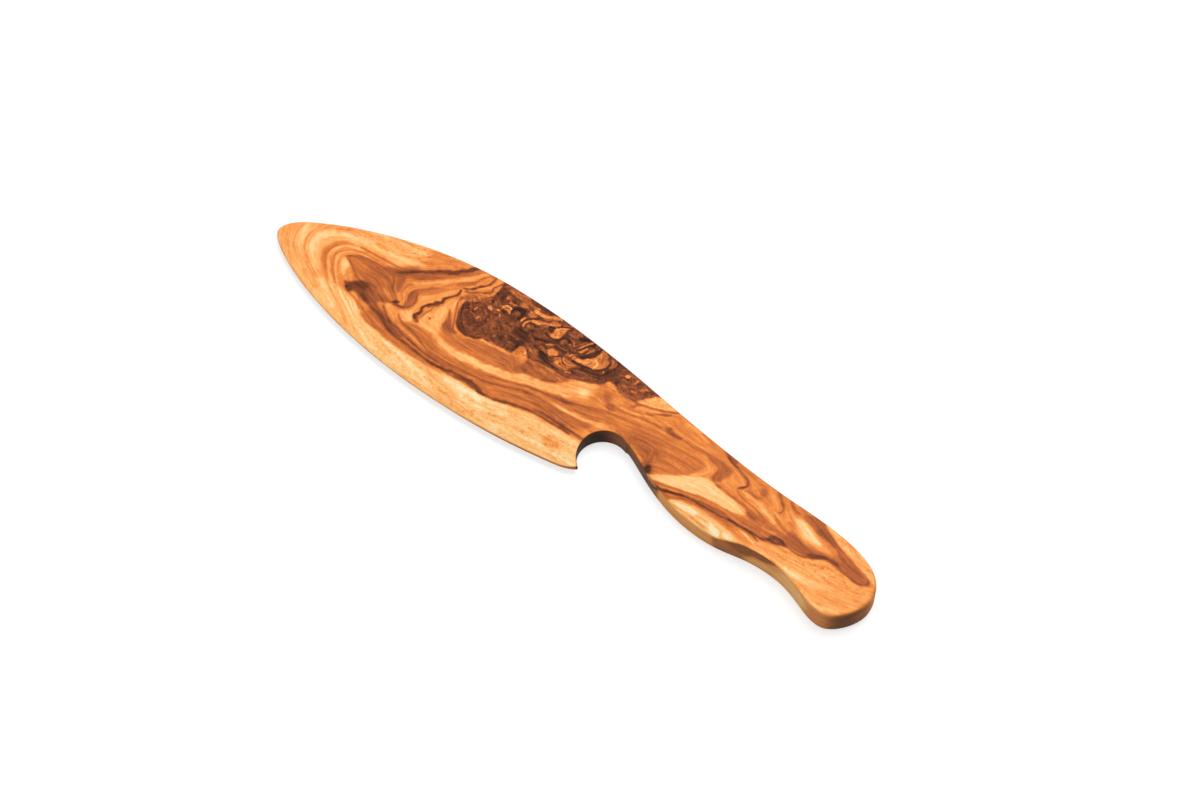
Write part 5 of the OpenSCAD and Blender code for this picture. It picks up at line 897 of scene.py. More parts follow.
def nearest(x, y, path):
    """Distance from each point to the path, and the share of the path's length there."""
    seg = np.diff(path, axis=0)
    length = np.maximum(np.hypot(seg[:, 0], seg[:, 1]), 1e-9)
    start = np.r_[0, np.cumsum(length)]
    best, along = np.full(x.shape, np.inf), np.zeros(x.shape)
    for k in range(len(seg)):
        dx, dy = x - path[k, 0], y - path[k, 1]
        t = np.clip((dx * seg[k, 0] + dy * seg[k, 1]) / length[k] ** 2, 0, 1)
        d = (dx - t * seg[k, 0]) ** 2 + (dy - t * seg[k, 1]) ** 2
        closer = d < best
        best = np.where(closer, d, best)
        along = np.where(closer, start[k] + t * length[k], along)
    return np.sqrt(best), along / start[-1]


def within(x, y, loop):
    """True inside the closed loop."""
    odd = np.zeros(x.shape, bool)
    for (x0, y0), (x1, y1) in zip(loop, np.roll(loop, -1, axis=0)):
        if y0 != y1:
            odd ^= ((y0 > y) != (y1 > y)) & (x < (x1 - x0) * (y - y0) / (y1 - y0) + x0)
    return odd


def ease(v):
    q = np.clip(v, 0, 1)
    return q * q * (3 - 2 * q)


def rise(v, start, run):
    """A soft step from 0 to 1 that begins at start."""
    return ease((v - start) / run)


def blend(g, i, j, u, w):
    """The grid's value between its corners at i, j and the next ones."""
    lower = g[i[0], j[0]] * (1 - u) + g[i[1], j[0]] * u
    upper = g[i[0], j[1]] * (1 - u) + g[i[1], j[1]] * u
    return lower * (1 - w) + upper * w


class Speckle:
    """Smooth noise from -1 to 1 on a seeded lattice."""

    def __init__(self, seed, size=256):
        self.v = np.random.RandomState(seed).uniform(-1, 1, (size, size))

    def __call__(self, x, y, patch=(1, 1)):
        n = len(self.v)
        x, y = x / patch[0], y / patch[1]
        i, j = np.floor(x).astype(int), np.floor(y).astype(int)
        return blend(self.v, (i % n, (i + 1) % n), (j % n, (j + 1) % n), ease(x - i), ease(y - j))


UNEVEN = Speckle(seed=41)


def signed_distance(x, y, loop):
    d, _ = nearest(x, y, np.vstack([loop, loop[:1]]))
    return np.where(within(x, y, loop), -d, d)


def zone(x, y, points, fade=2):
    """Share from 0 to 1 by which each point lies in a loop with a soft border."""
    return ease(0.5 - signed_distance(x, y, rounded(points, True)) / (2 * fade))


def cover(x, y, mark):
    """How strongly a mark covers each point, from 0 to 1."""
    if mark.closed:
        return mark.strength * zone(x, y, mark.points, mark.soft)
    d, s = nearest(x, y, rounded(mark.points))
    first, last = mark.half if isinstance(mark.half, tuple) else (mark.half, mark.half)
    ends = np.minimum(s, 1 - s) / mark.taper
    swell = 1 + WIDTH_CHANGE * UNEVEN(x / WIDTH_PATCH, y / WIDTH_PATCH)
    h = (first + (last - first) * s) * np.sqrt(np.clip(ends, 0, 1)) * swell
    worn = STRENGTH_MEAN + STRENGTH_CHANGE * UNEVEN(x / STRENGTH_PATCH + ELSEWHERE, y / STRENGTH_PATCH)
    fade = np.clip(2 * ends, 0, 1) * worn
    return mark.strength * np.clip(fade, 0, 1) * ease(0.5 - (d - h) / (2 * mark.soft))


def drawn(x, y, marks, base):
    """The figure's tone at each point, one mark laid over the last."""
    tone = np.full(x.shape, float(base))
    for mark in marks:
        pad = np.max(mark.half) + mark.soft + 1
        low, high = mark.points.min(0) - pad, mark.points.max(0) + pad
        near = (x > low[0]) & (x < high[0]) & (y > low[1]) & (y < high[1])
        if near.any():
            tone[near] += (mark.tone - tone[near]) * cover(x[near], y[near], mark)
    return tone


class Grain:
    """Direction of the fibres, led by the veins, on a 1 mm grid."""

    LOW, HIGH = (-2.0, -20.0), (202.0, 28.0)
    LENGTHWISE = 0.002  # weight of the board's own direction, felt where no vein is near
    CORE, FALL = 0.6, 1.5  # a vein's core in square millimetres, and how its pull falls off outside it

    def __init__(self, marks):
        gx, gy = (np.arange(low, high + 1) for low, high in zip(self.LOW, self.HIGH))
        X, Y = np.meshgrid(gx, gy, indexing="ij")
        c, s = np.full(X.shape, self.LENGTHWISE), np.zeros(X.shape)
        for mark in marks:
            if not mark.steers:
                continue
            path = rounded(mark.points, mark.closed, 1.0)
            seg, mid = np.diff(path, axis=0), (path[1:] + path[:-1]) / 2
            for (mx, my), (sx, sy) in zip(mid, seg):
                w = math.hypot(sx, sy) / ((X - mx) ** 2 + (Y - my) ** 2 + self.CORE) ** self.FALL
                turn = 2 * math.atan2(sy, sx)
                c += w * math.cos(turn)
                s += w * math.sin(turn)
        r = np.hypot(c, s)
        self.c, self.s = c / r, s / r

    def at(self, x, y):
        u, v = x - self.LOW[0], y - self.LOW[1]
        i = np.clip(np.floor(u).astype(int), 0, self.c.shape[0] - 2)
        j = np.clip(np.floor(v).astype(int), 0, self.c.shape[1] - 2)
        place = (i, i + 1), (j, j + 1), np.clip(u - i, 0, 1), np.clip(v - j, 0, 1)
        half = np.arctan2(blend(self.s, *place), blend(self.c, *place)) / 2
        return np.cos(half), np.sin(half)

    def fibres(self, x, y, seed, width, reach, steps=10):
        """Speckle smeared along the fibres, with no mean and unit spread."""
        speckle = Speckle(seed, size=512)
        total = speckle(x / width, y / width)
        for sign in (1, -1):
            px, py, ox, oy = x, y, None, None
            for _ in range(steps):
                dx, dy = self.at(px, py)
                turn = sign if ox is None else np.where(dx * ox + dy * oy < 0, -1, 1)
                ox, oy = dx * turn, dy * turn
                px, py = px + ox * reach / steps, py + oy * reach / steps
                total = total + speckle(px / width, py / width)
        return (total - total.mean()) / total.std()


def figure(x, y, sap):
    """Tone of the wood at points in millimetres; sap is the tone where nothing is drawn."""
    burl = zone(x, y, BURL_ZONE)
    wide, fine = WIDE_WANDER + WIDE_BURL * burl, FINE_WANDER + FINE_BURL * burl
    a, b, c, d = (Speckle(seed) for seed in WANDER_SEEDS)
    wx = x + wide * a(x, y, WIDE_PATCH) + fine * b(x, y, FINE_PATCH)
    wy = y + wide * c(x, y, WIDE_PATCH) + fine * d(x, y, FINE_PATCH)
    tone = drawn(wx, wy, MARKS, sap)

    # the burl is mottled, and all the wood is streaked along its fibres
    mx, my = x + SWIRL * a(x, y, SWIRL_PATCH), y + SWIRL * c(x, y, SWIRL_PATCH)
    mottle = LARGE_MOTTLE * b(mx, my, LARGE_PATCH) + SMALL_MOTTLE * d(mx, my, SMALL_PATCH)
    mottle *= MOTTLE_STRENGTH * burl * rise(tone, *NOT_BLACK)
    grain = Grain(MARKS)
    fibre = grain.fibres(x, y, *SHORT_FIBRES) + LONG_SHARE * grain.fibres(x, y, *LONG_FIBRES)
    spread = FIBRE_STRENGTH - PALE_CUT * rise(tone, *PALE)
    ticks = np.clip(grain.fibres(x, y, *TICKS) - TICK_START, 0, 2)
    flecked = sum(zone(x, y, loop) for loop in FLECKED)
    ticks *= TICK_STRENGTH * rise(tone, *LIGHT) + FLECK_STRENGTH * flecked
    return np.clip(tone + spread * fibre + mottle - ticks, 0, 1)


# Carving the knife

# headings of the outline, in degrees; the hook is where the heel turns into the notch
HEEL_HEADING, HOOK_HEADING, NECK_HEADING, BACK_HEADING = 11, 70, -20, -1
HOOK_PLACE, HOOK_INSET = 236, 0.4  # degrees round the notch, and millimetres inside its radius
NOTCH_POINTS = 90

# the slope to the edge: most of the blade's width that it takes, and how round it is
SLOPE_SHARE, SLOPE_CURVE = 0.75, 1.8
SOLE_SHARE = 0.25  # of the blade's thinning is taken from below

# where the belly's fall changes, in shares of its distance from the notch, and the fall's width in depths
FALL_STATIONS, FALL_WIDTH = np.array([-0.55, -0.3, 0.12, 0.33]), 3.6

# corner rounding: share of a bare edge's thickness, the butt's run and the run of the changes in millimetres
EDGE_SHARE, END_RUN, CHANGE_RUN = 0.4, 4, 1.5
MOST_ROUND = 0.9  # of half the thickness
END_GAIN = 1.5  # how much faster the lower edge grows rounder at the butt than the upper one

# rings of points over the rounding, in radii from the outline, the share of that which a point must keep,
# and the lattice's room inside the last ring, in spacings
RINGS = (0.05, 0.16, 0.33, 0.56, 0.8, 1.06)
RING_ROOM, LATTICE_ROOM = 0.9, 0.55
INSIDE_ONLY, WELD = 1, 1e-6  # which triangles are made, and how near points become one
WALL_ROWS = 7
TINY = 0.01  # keeps a division away from zero

FIGURE_START = 0.8  # millimetres from the tip to where the drawn figure starts
FIGURE_LIFT = 0.2  # the figure is drawn on a face where the handle is only this much thicker than the neck
# how far the veins shift along and across the board for each millimetre of depth
SLANT_ALONG, SLANT_ACROSS = 0.41, 0.53

# tone of the wall: streaks with their patches, and the blade's edge, which darkens towards the heel with
# painted shade
STREAK_SEEDS, LONG_STREAK, SHORT_STREAK = (32, 33), (5, 0.7), (2.2, 0.35)
SHORT_SHARE, STREAK_STRENGTH = 0.6, 0.06
EDGE_TONE, EDGE_PAINTED_SHADE, EDGE_RUN = 0.74, 0.16, (70, 25)
# share of the wall's tone and of its painted-shade hue: full on the rim, less in front of the heel and on the
# spine's side
RIM_RUN, FRONT_SHARE, SHARE_RUN = 0.5, 0.2, (70, 20)
SIDE_BLEND, NOTCH_MARGIN = 6, 0.3  # millimetres


def heading(degrees):
    return np.array([math.cos(math.radians(degrees)), math.sin(math.radians(degrees))])


def leg(a, ha, pa, b, hb, pb, steps=96):
    """A curve that leaves a along heading ha and reaches b along heading hb."""
    t = np.linspace(0, 1, steps, endpoint=False)[:, None]
    c, d = a + pa * heading(ha), b - pb * heading(hb)
    return (1 - t) ** 3 * a + 3 * (1 - t) ** 2 * t * c + 3 * (1 - t) * t**2 * d + t**3 * b


def pull(a, b, share=0.36):
    return share * np.linalg.norm(b - a)


def quarter(v):
    return np.sqrt(1 - (1 - np.clip(v, 0, 1)) ** 2)


def spaced(path, step):
    """The path's points again, evenly spaced, without its last point."""
    run = np.r_[0, np.cumsum(np.hypot(*np.diff(path, axis=0).T))]
    at = np.linspace(0, run[-1], max(3, round(run[-1] / step)), endpoint=False)
    return np.c_[np.interp(at, run, path[:, 0]), np.interp(at, run, path[:, 1])]


class Carving:
    """The knife's outline and thickness in millimetres, tip at x = 0."""

    def __init__(self, sizes):
        for name in sizes.__annotations__:
            setattr(self, name, getattr(sizes, name) / MM)
        self.length = self.blade_length + self.handle_length

        def from_notch(behind, up):
            return np.array([self.blade_length + behind, up])

        def from_butt(before, up):
            return np.array([self.length - before, up])

        tip, butt = np.array([0, self.tip_rise]), from_butt(0, self.butt_rise)
        crest = from_notch(-self.crest_to_notch, self.spine_height)
        back = from_butt(self.back_to_butt, self.back_height)
        low = from_notch(-self.edge_low_to_notch, -self.edge_depth)
        heel = from_notch(-self.heel_to_notch, -self.heel_depth)
        notch = from_notch(0, -self.notch_depth)
        neck = from_notch(self.neck_to_notch, self.neck_rise)
        belly = from_notch(self.belly_to_notch, -self.belly_depth)
        waist = from_butt(self.waist_to_butt, -self.waist_depth)
        swell = from_butt(self.swell_to_butt, -self.butt_depth)
        hook = notch + (self.notch_radius - HOOK_INSET) * heading(HOOK_PLACE)
        self.crest, self.back, self.low, self.heel, self.notch = crest, back, low, heel, notch
        self.neck, self.belly, self.waist, self.swell = neck, belly, waist, swell
        self.spine = np.vstack([
            leg(tip, 90, self.tip_spine_pull, crest, 0, self.crest_front_pull),
            leg(crest, 0, pull(crest, back, 0.44), back, BACK_HEADING, pull(crest, back, 0.34)),
            leg(back, BACK_HEADING, pull(back, butt, 0.64), butt, -90, pull(back, butt, 0.28)),
            [butt],
        ])
        self.lower = np.vstack([
            leg(tip, -90, self.tip_edge_pull, low, 0, self.edge_front_pull),
            leg(low, 0, pull(low, heel), heel, HEEL_HEADING, pull(low, heel)),
            leg(heel, HEEL_HEADING, pull(heel, hook, 0.35), hook, HOOK_HEADING, pull(heel, hook, 0.2)),
            leg(hook, HOOK_HEADING, pull(hook, neck, 0.3), neck, NECK_HEADING, pull(hook, neck, 0.25)),
            leg(neck, NECK_HEADING, pull(neck, belly, 0.2), belly, 0, pull(neck, belly, 0.46)),
            leg(belly, 0, pull(belly, waist, 0.42), waist, 0, pull(belly, waist, 0.42)),
            leg(waist, 0, pull(waist, swell, 0.5), swell, 0, pull(waist, swell, 0.28)),
            leg(swell, 0, pull(swell, butt, 0.34), butt, 90, pull(swell, butt, 0.3)),
            [butt],
        ])

    def spine_y(self, x):
        return np.interp(x, self.spine[:, 0], self.spine[:, 1])

    def lower_y(self, x):
        return np.interp(x, self.lower[:, 0], self.lower[:, 1])

    def to_notch(self, x, y):
        return np.hypot(x - self.notch[0], y - self.notch[1])

    def inside(self, x, y):
        return (y < self.spine_y(x)) & (y > self.lower_y(x)) & ~(self.to_notch(x, y) < self.notch_radius)

    def half(self, x, y, board):
        """Half the thickness before the corners are rounded, for a handle as thick as the board."""
        share = rise(x, self.low[0], self.heel[0] - self.low[0])
        thin = (self.edge_thickness + (self.heel_thickness - self.edge_thickness) * share) / 2
        gain = self.neck_thickness - self.tip_thickness
        full = self.tip_thickness + gain * ease(x / self.thinning_length)
        full = thin + (full / 2 - thin) * quarter(x / self.point_length)
        width = np.minimum(self.slope_width, SLOPE_SHARE * (self.spine_y(x) - self.lower_y(x)))
        run_on = self.heel[1] + (x - self.heel[0]) * math.tan(math.radians(HEEL_HEADING))
        edge = np.where(x < self.heel[0], self.lower_y(x), run_on)
        q = np.clip((y - edge) / np.maximum(TINY, width), 0, 1)
        blade = thin + (full - thin) * (1 - (1 - q) ** SLOPE_CURVE)
        handle = ease((x - self.notch[0] + self.notch_radius / 2) / self.notch_radius)
        gain = board - self.neck_thickness
        grip = self.neck_thickness + gain * rise(x, self.notch[0], self.belly_to_notch)
        return blade + (grip / 2 - blade) * handle

    def fall(self, x, y):
        """How far the upper face falls towards the lower outline at the neck and the belly."""
        stations = self.belly[0] + self.belly_to_notch * FALL_STATIONS
        falls = [0, self.neck_fall, self.neck_fall, self.belly_fall, self.belly_fall, 0]
        edge = np.interp(x, [self.notch[0], self.neck[0], *stations], falls)
        q = np.clip((y - self.lower_y(x)) / np.maximum(TINY, FALL_WIDTH * edge), 0, 1)
        return edge * (1 - q) ** 2

    def outline(self, step):
        """The points of the closed outline and its corner radius at each."""
        gone = np.hypot(*(self.lower - self.notch).T) < self.notch_radius
        first, last = np.argmax(gone), len(gone) - np.argmax(gone[::-1])
        fore, aft = self.lower[:first], self.lower[last:]
        a, b = (math.atan2(p[1] - self.notch[1], p[0] - self.notch[0]) for p in (fore[-1], aft[0]))
        turn = np.linspace(a % math.tau, b, NOTCH_POINTS)
        arc = self.notch + self.notch_radius * np.c_[np.cos(turn), np.sin(turn)]
        runs = [np.vstack([fore, arc[:1]]), arc, np.vstack([arc[-1:], aft]), self.spine[::-1]]
        runs = [spaced(r, step) for r in runs]
        bare = EDGE_SHARE * self.edge_thickness
        under = ([self.heel[0], self.neck[0], self.belly[0], self.waist[0], self.swell[0], self.length],
                 [bare, self.neck_round, self.belly_round, self.waist_round, self.butt_round, self.end_round])
        over = ([0, 2 * self.point_length, self.crest[0], self.back[0], self.length - END_RUN, self.length],
                [bare, self.spine_round, self.spine_round, self.butt_round, self.butt_round, self.end_round])
        radius = np.r_[np.interp(runs[0][:, 0], *under), np.full(len(runs[1]), self.notch_round),
                       np.interp(runs[2][:, 0], *under), np.interp(runs[3][:, 0], *over)]
        reach = max(1, round(CHANGE_RUN / step))
        around = np.r_[radius[-reach:], radius, radius[:reach]]
        radius = np.convolve(around, np.full(2 * reach + 1, 1 / (2 * reach + 1)), "valid")
        return np.vstack(runs), radius


class Outline:
    """The outline with quick distances to it."""

    def __init__(self, carving, step):
        self.points, self.radius = carving.outline(step)
        ahead = np.roll(self.points, -1, axis=0) - np.roll(self.points, 1, axis=0)
        self.inward = np.c_[-ahead[:, 1], ahead[:, 0]] / np.hypot(*ahead.T)[:, None]
        self.tree = KDTree(len(self.points))
        for i, (x, y) in enumerate(self.points):
            self.tree.insert((x, y, 0), i)
        self.tree.balance()

    def near(self, x, y):
        """Distance to the outline and the corner radius there."""
        k = np.array([self.tree.find((a, b, 0))[1] for a, b in zip(x, y)])
        n = len(self.points)
        best = np.full(len(k), np.inf)
        for other in ((k - 1) % n, (k + 1) % n):
            p, seg = self.points[k], self.points[other] - self.points[k]
            dx, dy = x - p[:, 0], y - p[:, 1]
            t = np.clip((dx * seg[:, 0] + dy * seg[:, 1]) / (seg**2).sum(1), 0, 1)
            best = np.minimum(best, np.hypot(dx - t * seg[:, 0], dy - t * seg[:, 1]))
        return best, self.radius[k]


def honeycomb(carving, spacing, gap, in_burl):
    """Lattice points inside the knife, in the burl or outside it."""
    rows = np.arange(-carving.edge_depth, carving.spine_height, spacing * math.sqrt(0.75))
    columns = np.arange(0, carving.length, spacing)
    shifted = (columns, columns + spacing / 2)
    p = np.vstack([np.c_[shifted[j % 2], np.full(len(columns), y)] for j, y in enumerate(rows)])
    p = p[carving.inside(p[:, 0], p[:, 1])]
    d = signed_distance(p[:, 0], p[:, 1], rounded(BURL_ZONE, True))
    return p[d < 0] if in_burl else p[d > gap]


def face_plan(carving, outline, spacing, fine):
    """Points and triangles of one face in plan: outline, rings over the rounding, then the lattice."""
    rings = []
    for share in RINGS:
        p = outline.points + outline.inward * (share * outline.radius)[:, None]
        d, _ = outline.near(p[:, 0], p[:, 1])
        keep = (d > RING_ROOM * share * outline.radius) & carving.inside(p[:, 0], p[:, 1])
        rings.append(p[keep])
    lattice = np.vstack([honeycomb(carving, spacing, fine, False), honeycomb(carving, fine, fine, True)])
    d, r = outline.near(lattice[:, 0], lattice[:, 1])
    lattice = lattice[d > RINGS[-1] * r + LATTICE_ROOM * spacing]
    plan = np.vstack([outline.points, *rings, lattice])
    border = list(range(len(outline.points)))
    flat = [Vector(p) for p in plan]
    _, _, faces, origin, _, _ = delaunay_2d_cdt(flat, [], [border], INSIDE_ONLY, WELD)
    if any(not o for o in origin):
        raise RuntimeError("the face plan grew a point of its own")
    back = np.array([o[0] for o in origin])
    return plan, back[np.array(faces)]


def wall_looks(carving, x, y, z, rim):
    """Tone of the wall, with its painted shade, and the share of it that each point shows, which also mixes
    in the wall's painted-shade ramp.
    """
    low_side = ease(0.5 + ((carving.spine_y(x) + carving.lower_y(x)) / 2 - y) / SIDE_BLEND)
    in_front = (x < carving.notch[0]) & (carving.to_notch(x, y) > carving.notch_radius + NOTCH_MARGIN)
    long, short = (Speckle(seed) for seed in STREAK_SEEDS)
    streak = long(x, z, LONG_STREAK) + SHORT_SHARE * short(x, z, SHORT_STREAK)
    # painted shade: the edge wall darkens towards the heel
    edge = EDGE_TONE - EDGE_PAINTED_SHADE * rise(x, *EDGE_RUN)
    stained = drawn(x - FIGURE_START, z, SIDE, SIDE_TONE)
    tone = np.where(in_front, edge, stained) + STREAK_STRENGTH * streak
    share = FRONT_SHARE + (rise(x, *SHARE_RUN) - FRONT_SHARE) * low_side
    return tone, ease(rim / RIM_RUN) * share


def carve(sizes, looks):
    """The knife's mesh: upper face, wall and lower face as one closed skin, with the figure's tone."""
    carving = Carving(sizes)
    outline = Outline(carving, carving.outline_step)
    count = len(outline.points)
    skins = []
    fine, face, under = carving.burl_step, carving.face_step, carving.sole_step
    for side, spacing in ((1, face), (-1, under)):
        plan, tris = face_plan(carving, outline, spacing, fine if side > 0 else under)
        d, r = outline.near(plan[:, 0], plan[:, 1])
        d[:count], r[:count] = 0, outline.radius
        half = carving.half(plan[:, 0], plan[:, 1], carving.board_thickness)
        if side < 0:
            # the lower edge is rounder at the butt's end, like the upper one
            more = np.clip(r - max(carving.butt_round, carving.spine_round), 0, None)
            r = np.minimum(r, carving.sole_round + END_GAIN * more)
        r = np.minimum(r, MOST_ROUND * half)
        rim = 1 - quarter(d / r)
        z = SOLE_SHARE * (carving.board_thickness - 2 * half)
        if side > 0:
            z += 2 * half - carving.fall(plan[:, 0], plan[:, 1]) - r * rim
        else:
            z += r * rim
        skins.append((np.c_[plan, z], tris if side > 0 else tris[:, ::-1], rim))
    (upper, upper_tris, upper_rim), (sole, sole_tris, sole_rim) = skins
    rows = range(1, WALL_ROWS)
    wall = [upper[:count] + (sole[:count] - upper[:count]) * k / WALL_ROWS for k in rows]
    points = np.vstack([upper, sole, *wall])
    first = len(upper) + len(sole)
    starts = [0, *(first + (k - 1) * count for k in rows), len(upper)]
    rings = [start + np.arange(count) for start in starts]
    faces = [upper_tris, sole_tris + len(upper)]
    for a, b in zip(rings, rings[1:]):
        c, d = np.roll(b, -1), np.roll(a, -1)
        faces += [np.c_[a, b, c], np.c_[a, c, d]]
    faces = np.vstack(faces)

    # the veins run down through the board at a slant, so the slopes, the wall and the sole show them shifted
    x, y, z = points.T
    board_top = carving.board_thickness / 2 + carving.half(x, y, carving.neck_thickness + FIGURE_LIFT)
    depth = board_top - z
    tone = figure(x - FIGURE_START + SLANT_ALONG * depth, y - SLANT_ACROSS * depth, looks.sap_tone)
    rim = np.r_[upper_rim, sole_rim, np.ones(count * len(rows))]
    wall_tone, share = wall_looks(carving, x, y, z, rim)
    tone = np.clip(tone + (wall_tone - tone) * share, 0, 1)

    mesh = bpy.data.meshes.new("knife")
    mesh.vertices.add(len(points))
    shift = np.array(CAD_LOW) - np.array([0, -carving.edge_depth, 0]) * MM
    placed = np.clip(points * MM + shift, CAD_LOW, CAD_HIGH)
    mesh.vertices.foreach_set("co", placed.astype(np.float32).ravel())
    mesh.loops.add(faces.size)
    mesh.loops.foreach_set("vertex_index", faces.astype(np.int32).ravel())
    mesh.polygons.add(len(faces))
    mesh.polygons.foreach_set("loop_start", np.arange(0, faces.size, 3, dtype=np.int32))
    mesh.update(calc_edges=True)
    mesh.validate()
    mesh.shade_smooth()
    # side carries the share of the wall's tone and of its painted-shade ramp
    for name, value in (("tone", tone), ("side", share)):
        mesh.attributes.new(name, "FLOAT", "POINT").data.foreach_set("value", value.astype(np.float32))
    return mesh


# Wood finish

# stops of the colour ramp on the faces: tone, then red, green and blue from 0 to 255
WOOD = (
    (0.00, (44, 22, 12)),
    (0.10, (85, 45, 25)),
    (0.20, (115, 61, 35)),
    (0.30, (146, 77, 44)),
    (0.40, (178, 95, 50)),
    (0.50, (209, 115, 56)),
    (0.60, (236, 138, 65)),
    (0.70, (251, 166, 91)),
    (0.80, (253, 195, 123)),
    (0.90, (252, 223, 169)),
    (1.00, (254, 246, 208)),
)

# painted shade: the wall's ramp is the wood's colour as it looks in shade, duller in the dark tones and
# warmer in the pale ones
SHADED_SIDE_WOOD = (
    (0.00, (42, 24, 14)),
    (0.20, (105, 64, 37)),
    (0.40, (162, 101, 58)),
    (0.60, (222, 142, 80)),
    (0.80, (252, 184, 108)),
    (1.00, (254, 234, 186)),
)

OIL_SPECULAR, OIL_IOR = 0.1, 1.47
PORE_SCALE, PORE_DETAIL, PORE_STRETCH = 5200, 3, (0.28, 1.0, 1.0)
PORE_HEIGHT, PORE_BUMP, PORE_DEPTH = 0.35, 0.25, 0.00006  # share of the height, strength, and metres
GLOSS_CHANGE = 0.06  # of the roughness, either way


def linear(value):
    """A screen colour from 0 to 255 as linear light."""
    v = value / 255
    return v / 12.92 if v <= 0.04045 else ((v + 0.055) / 1.055) ** 2.4


def math_node(tree, operation, *feeds):
    """A math node whose inputs are fed by outlets or set to numbers; returns its outlet."""
    node = tree.nodes.new("ShaderNodeMath")
    node.operation = operation
    for socket, feed in zip(node.inputs, feeds):
        if isinstance(feed, (int, float)):
            socket.default_value = feed
        else:
            tree.links.new(feed, socket)
    return node.outputs[0]


def pores_group():
    """Fine pores and fibre ends: a tone to add, and a height for the bump."""
    group = bpy.data.node_groups.new("wood_pores", "ShaderNodeTree")
    for name, way in (("Tone", "INPUT"), ("Strength", "INPUT"), ("Tone", "OUTPUT"), ("Height", "OUTPUT")):
        group.interface.new_socket(name, in_out=way, socket_type="NodeSocketFloat")
    nodes, link = group.nodes, group.links.new
    inp, out = nodes.new("NodeGroupInput"), nodes.new("NodeGroupOutput")
    place = nodes.new("ShaderNodeTexCoord")
    stretch = nodes.new("ShaderNodeMapping")
    stretch.inputs["Scale"].default_value = PORE_STRETCH
    link(place.outputs["Object"], stretch.inputs["Vector"])
    noise = nodes.new("ShaderNodeTexNoise")
    noise.inputs["Scale"].default_value = PORE_SCALE
    noise.inputs["Detail"].default_value = PORE_DETAIL
    link(stretch.outputs["Vector"], noise.inputs["Vector"])
    pores, tone = noise.outputs["Fac"], inp.outputs["Tone"]
    centred = math_node(group, "SUBTRACT", pores, 0.5)
    pored = math_node(group, "MULTIPLY_ADD", centred, inp.outputs["Strength"], tone)
    pored.node.use_clamp = True
    link(pored, out.inputs["Tone"])
    link(math_node(group, "MULTIPLY_ADD", pores, PORE_HEIGHT, tone), out.inputs["Height"])
    return group


def read_mark(nodes, name):
    """The outlet of a value that the mesh carries on its points."""
    node = nodes.new("ShaderNodeAttribute")
    node.attribute_name = name
    return node.outputs["Fac"]


def olive_wood(looks):
    """Oiled olive wood: the drawn figure through a colour ramp, mixed on the wall with a ramp of painted
    shade, fine pores, satin gloss.
    """
    material = bpy.data.materials.new("olive_wood")
    material.use_nodes = True
    nodes, link = material.node_tree.nodes, material.node_tree.links.new
    shader = nodes["Principled BSDF"]
    shader.inputs["Specular IOR Level"].default_value = OIL_SPECULAR
    shader.inputs["IOR"].default_value = OIL_IOR
    pores = nodes.new("ShaderNodeGroup")
    pores.node_tree = pores_group()
    pores.inputs["Strength"].default_value = looks.pore_strength
    link(read_mark(nodes, "tone"), pores.inputs["Tone"])
    colour = nodes.new("ShaderNodeMix")
    colour.data_type = "RGBA"
    # the side mark mixes in the wall's ramp of painted shade
    link(read_mark(nodes, "side"), colour.inputs["Factor"])
    for shades, end in ((WOOD, "A"), (SHADED_SIDE_WOOD, "B")):
        ramp = nodes.new("ShaderNodeValToRGB")
        stops = ramp.color_ramp.elements
        while len(stops) < len(shades):
            stops.new(0.5)
        for stop, (place, shade) in zip(stops, shades):
            stop.position = place
            stop.color = (*map(linear, shade), 1)
        link(pores.outputs["Tone"], ramp.inputs["Fac"])
        link(ramp.outputs["Color"], next(s for s in colour.inputs if s.name == end and s.type == "RGBA"))
    link(next(s for s in colour.outputs if s.type == "RGBA"), shader.inputs["Base Color"])
    gloss = nodes.new("ShaderNodeMapRange")
    gloss.inputs["To Min"].default_value = looks.roughness - GLOSS_CHANGE
    gloss.inputs["To Max"].default_value = looks.roughness + GLOSS_CHANGE
    link(pores.outputs["Height"], gloss.inputs["Value"])
    link(gloss.outputs["Result"], shader.inputs["Roughness"])
    bump = nodes.new("ShaderNodeBump")
    bump.inputs["Strength"].default_value = PORE_BUMP
    bump.inputs["Distance"].default_value = PORE_DEPTH
    link(pores.outputs["Height"], bump.inputs["Height"])
    link(bump.outputs["Normal"], shader.inputs["Normal"])
    return material


# Settings

def size(name, text, millimetres):
    """A length that the user can change."""
    default = millimetres * MM
    return FloatProperty(name=name, description=text, default=default, min=0, unit="LENGTH", precision=5)


def amount(name, text, default, subtype="NONE"):
    """A value from 0 to 1 that the user can change."""
    return FloatProperty(name=name, description=text, default=default, min=0, max=1, subtype=subtype)


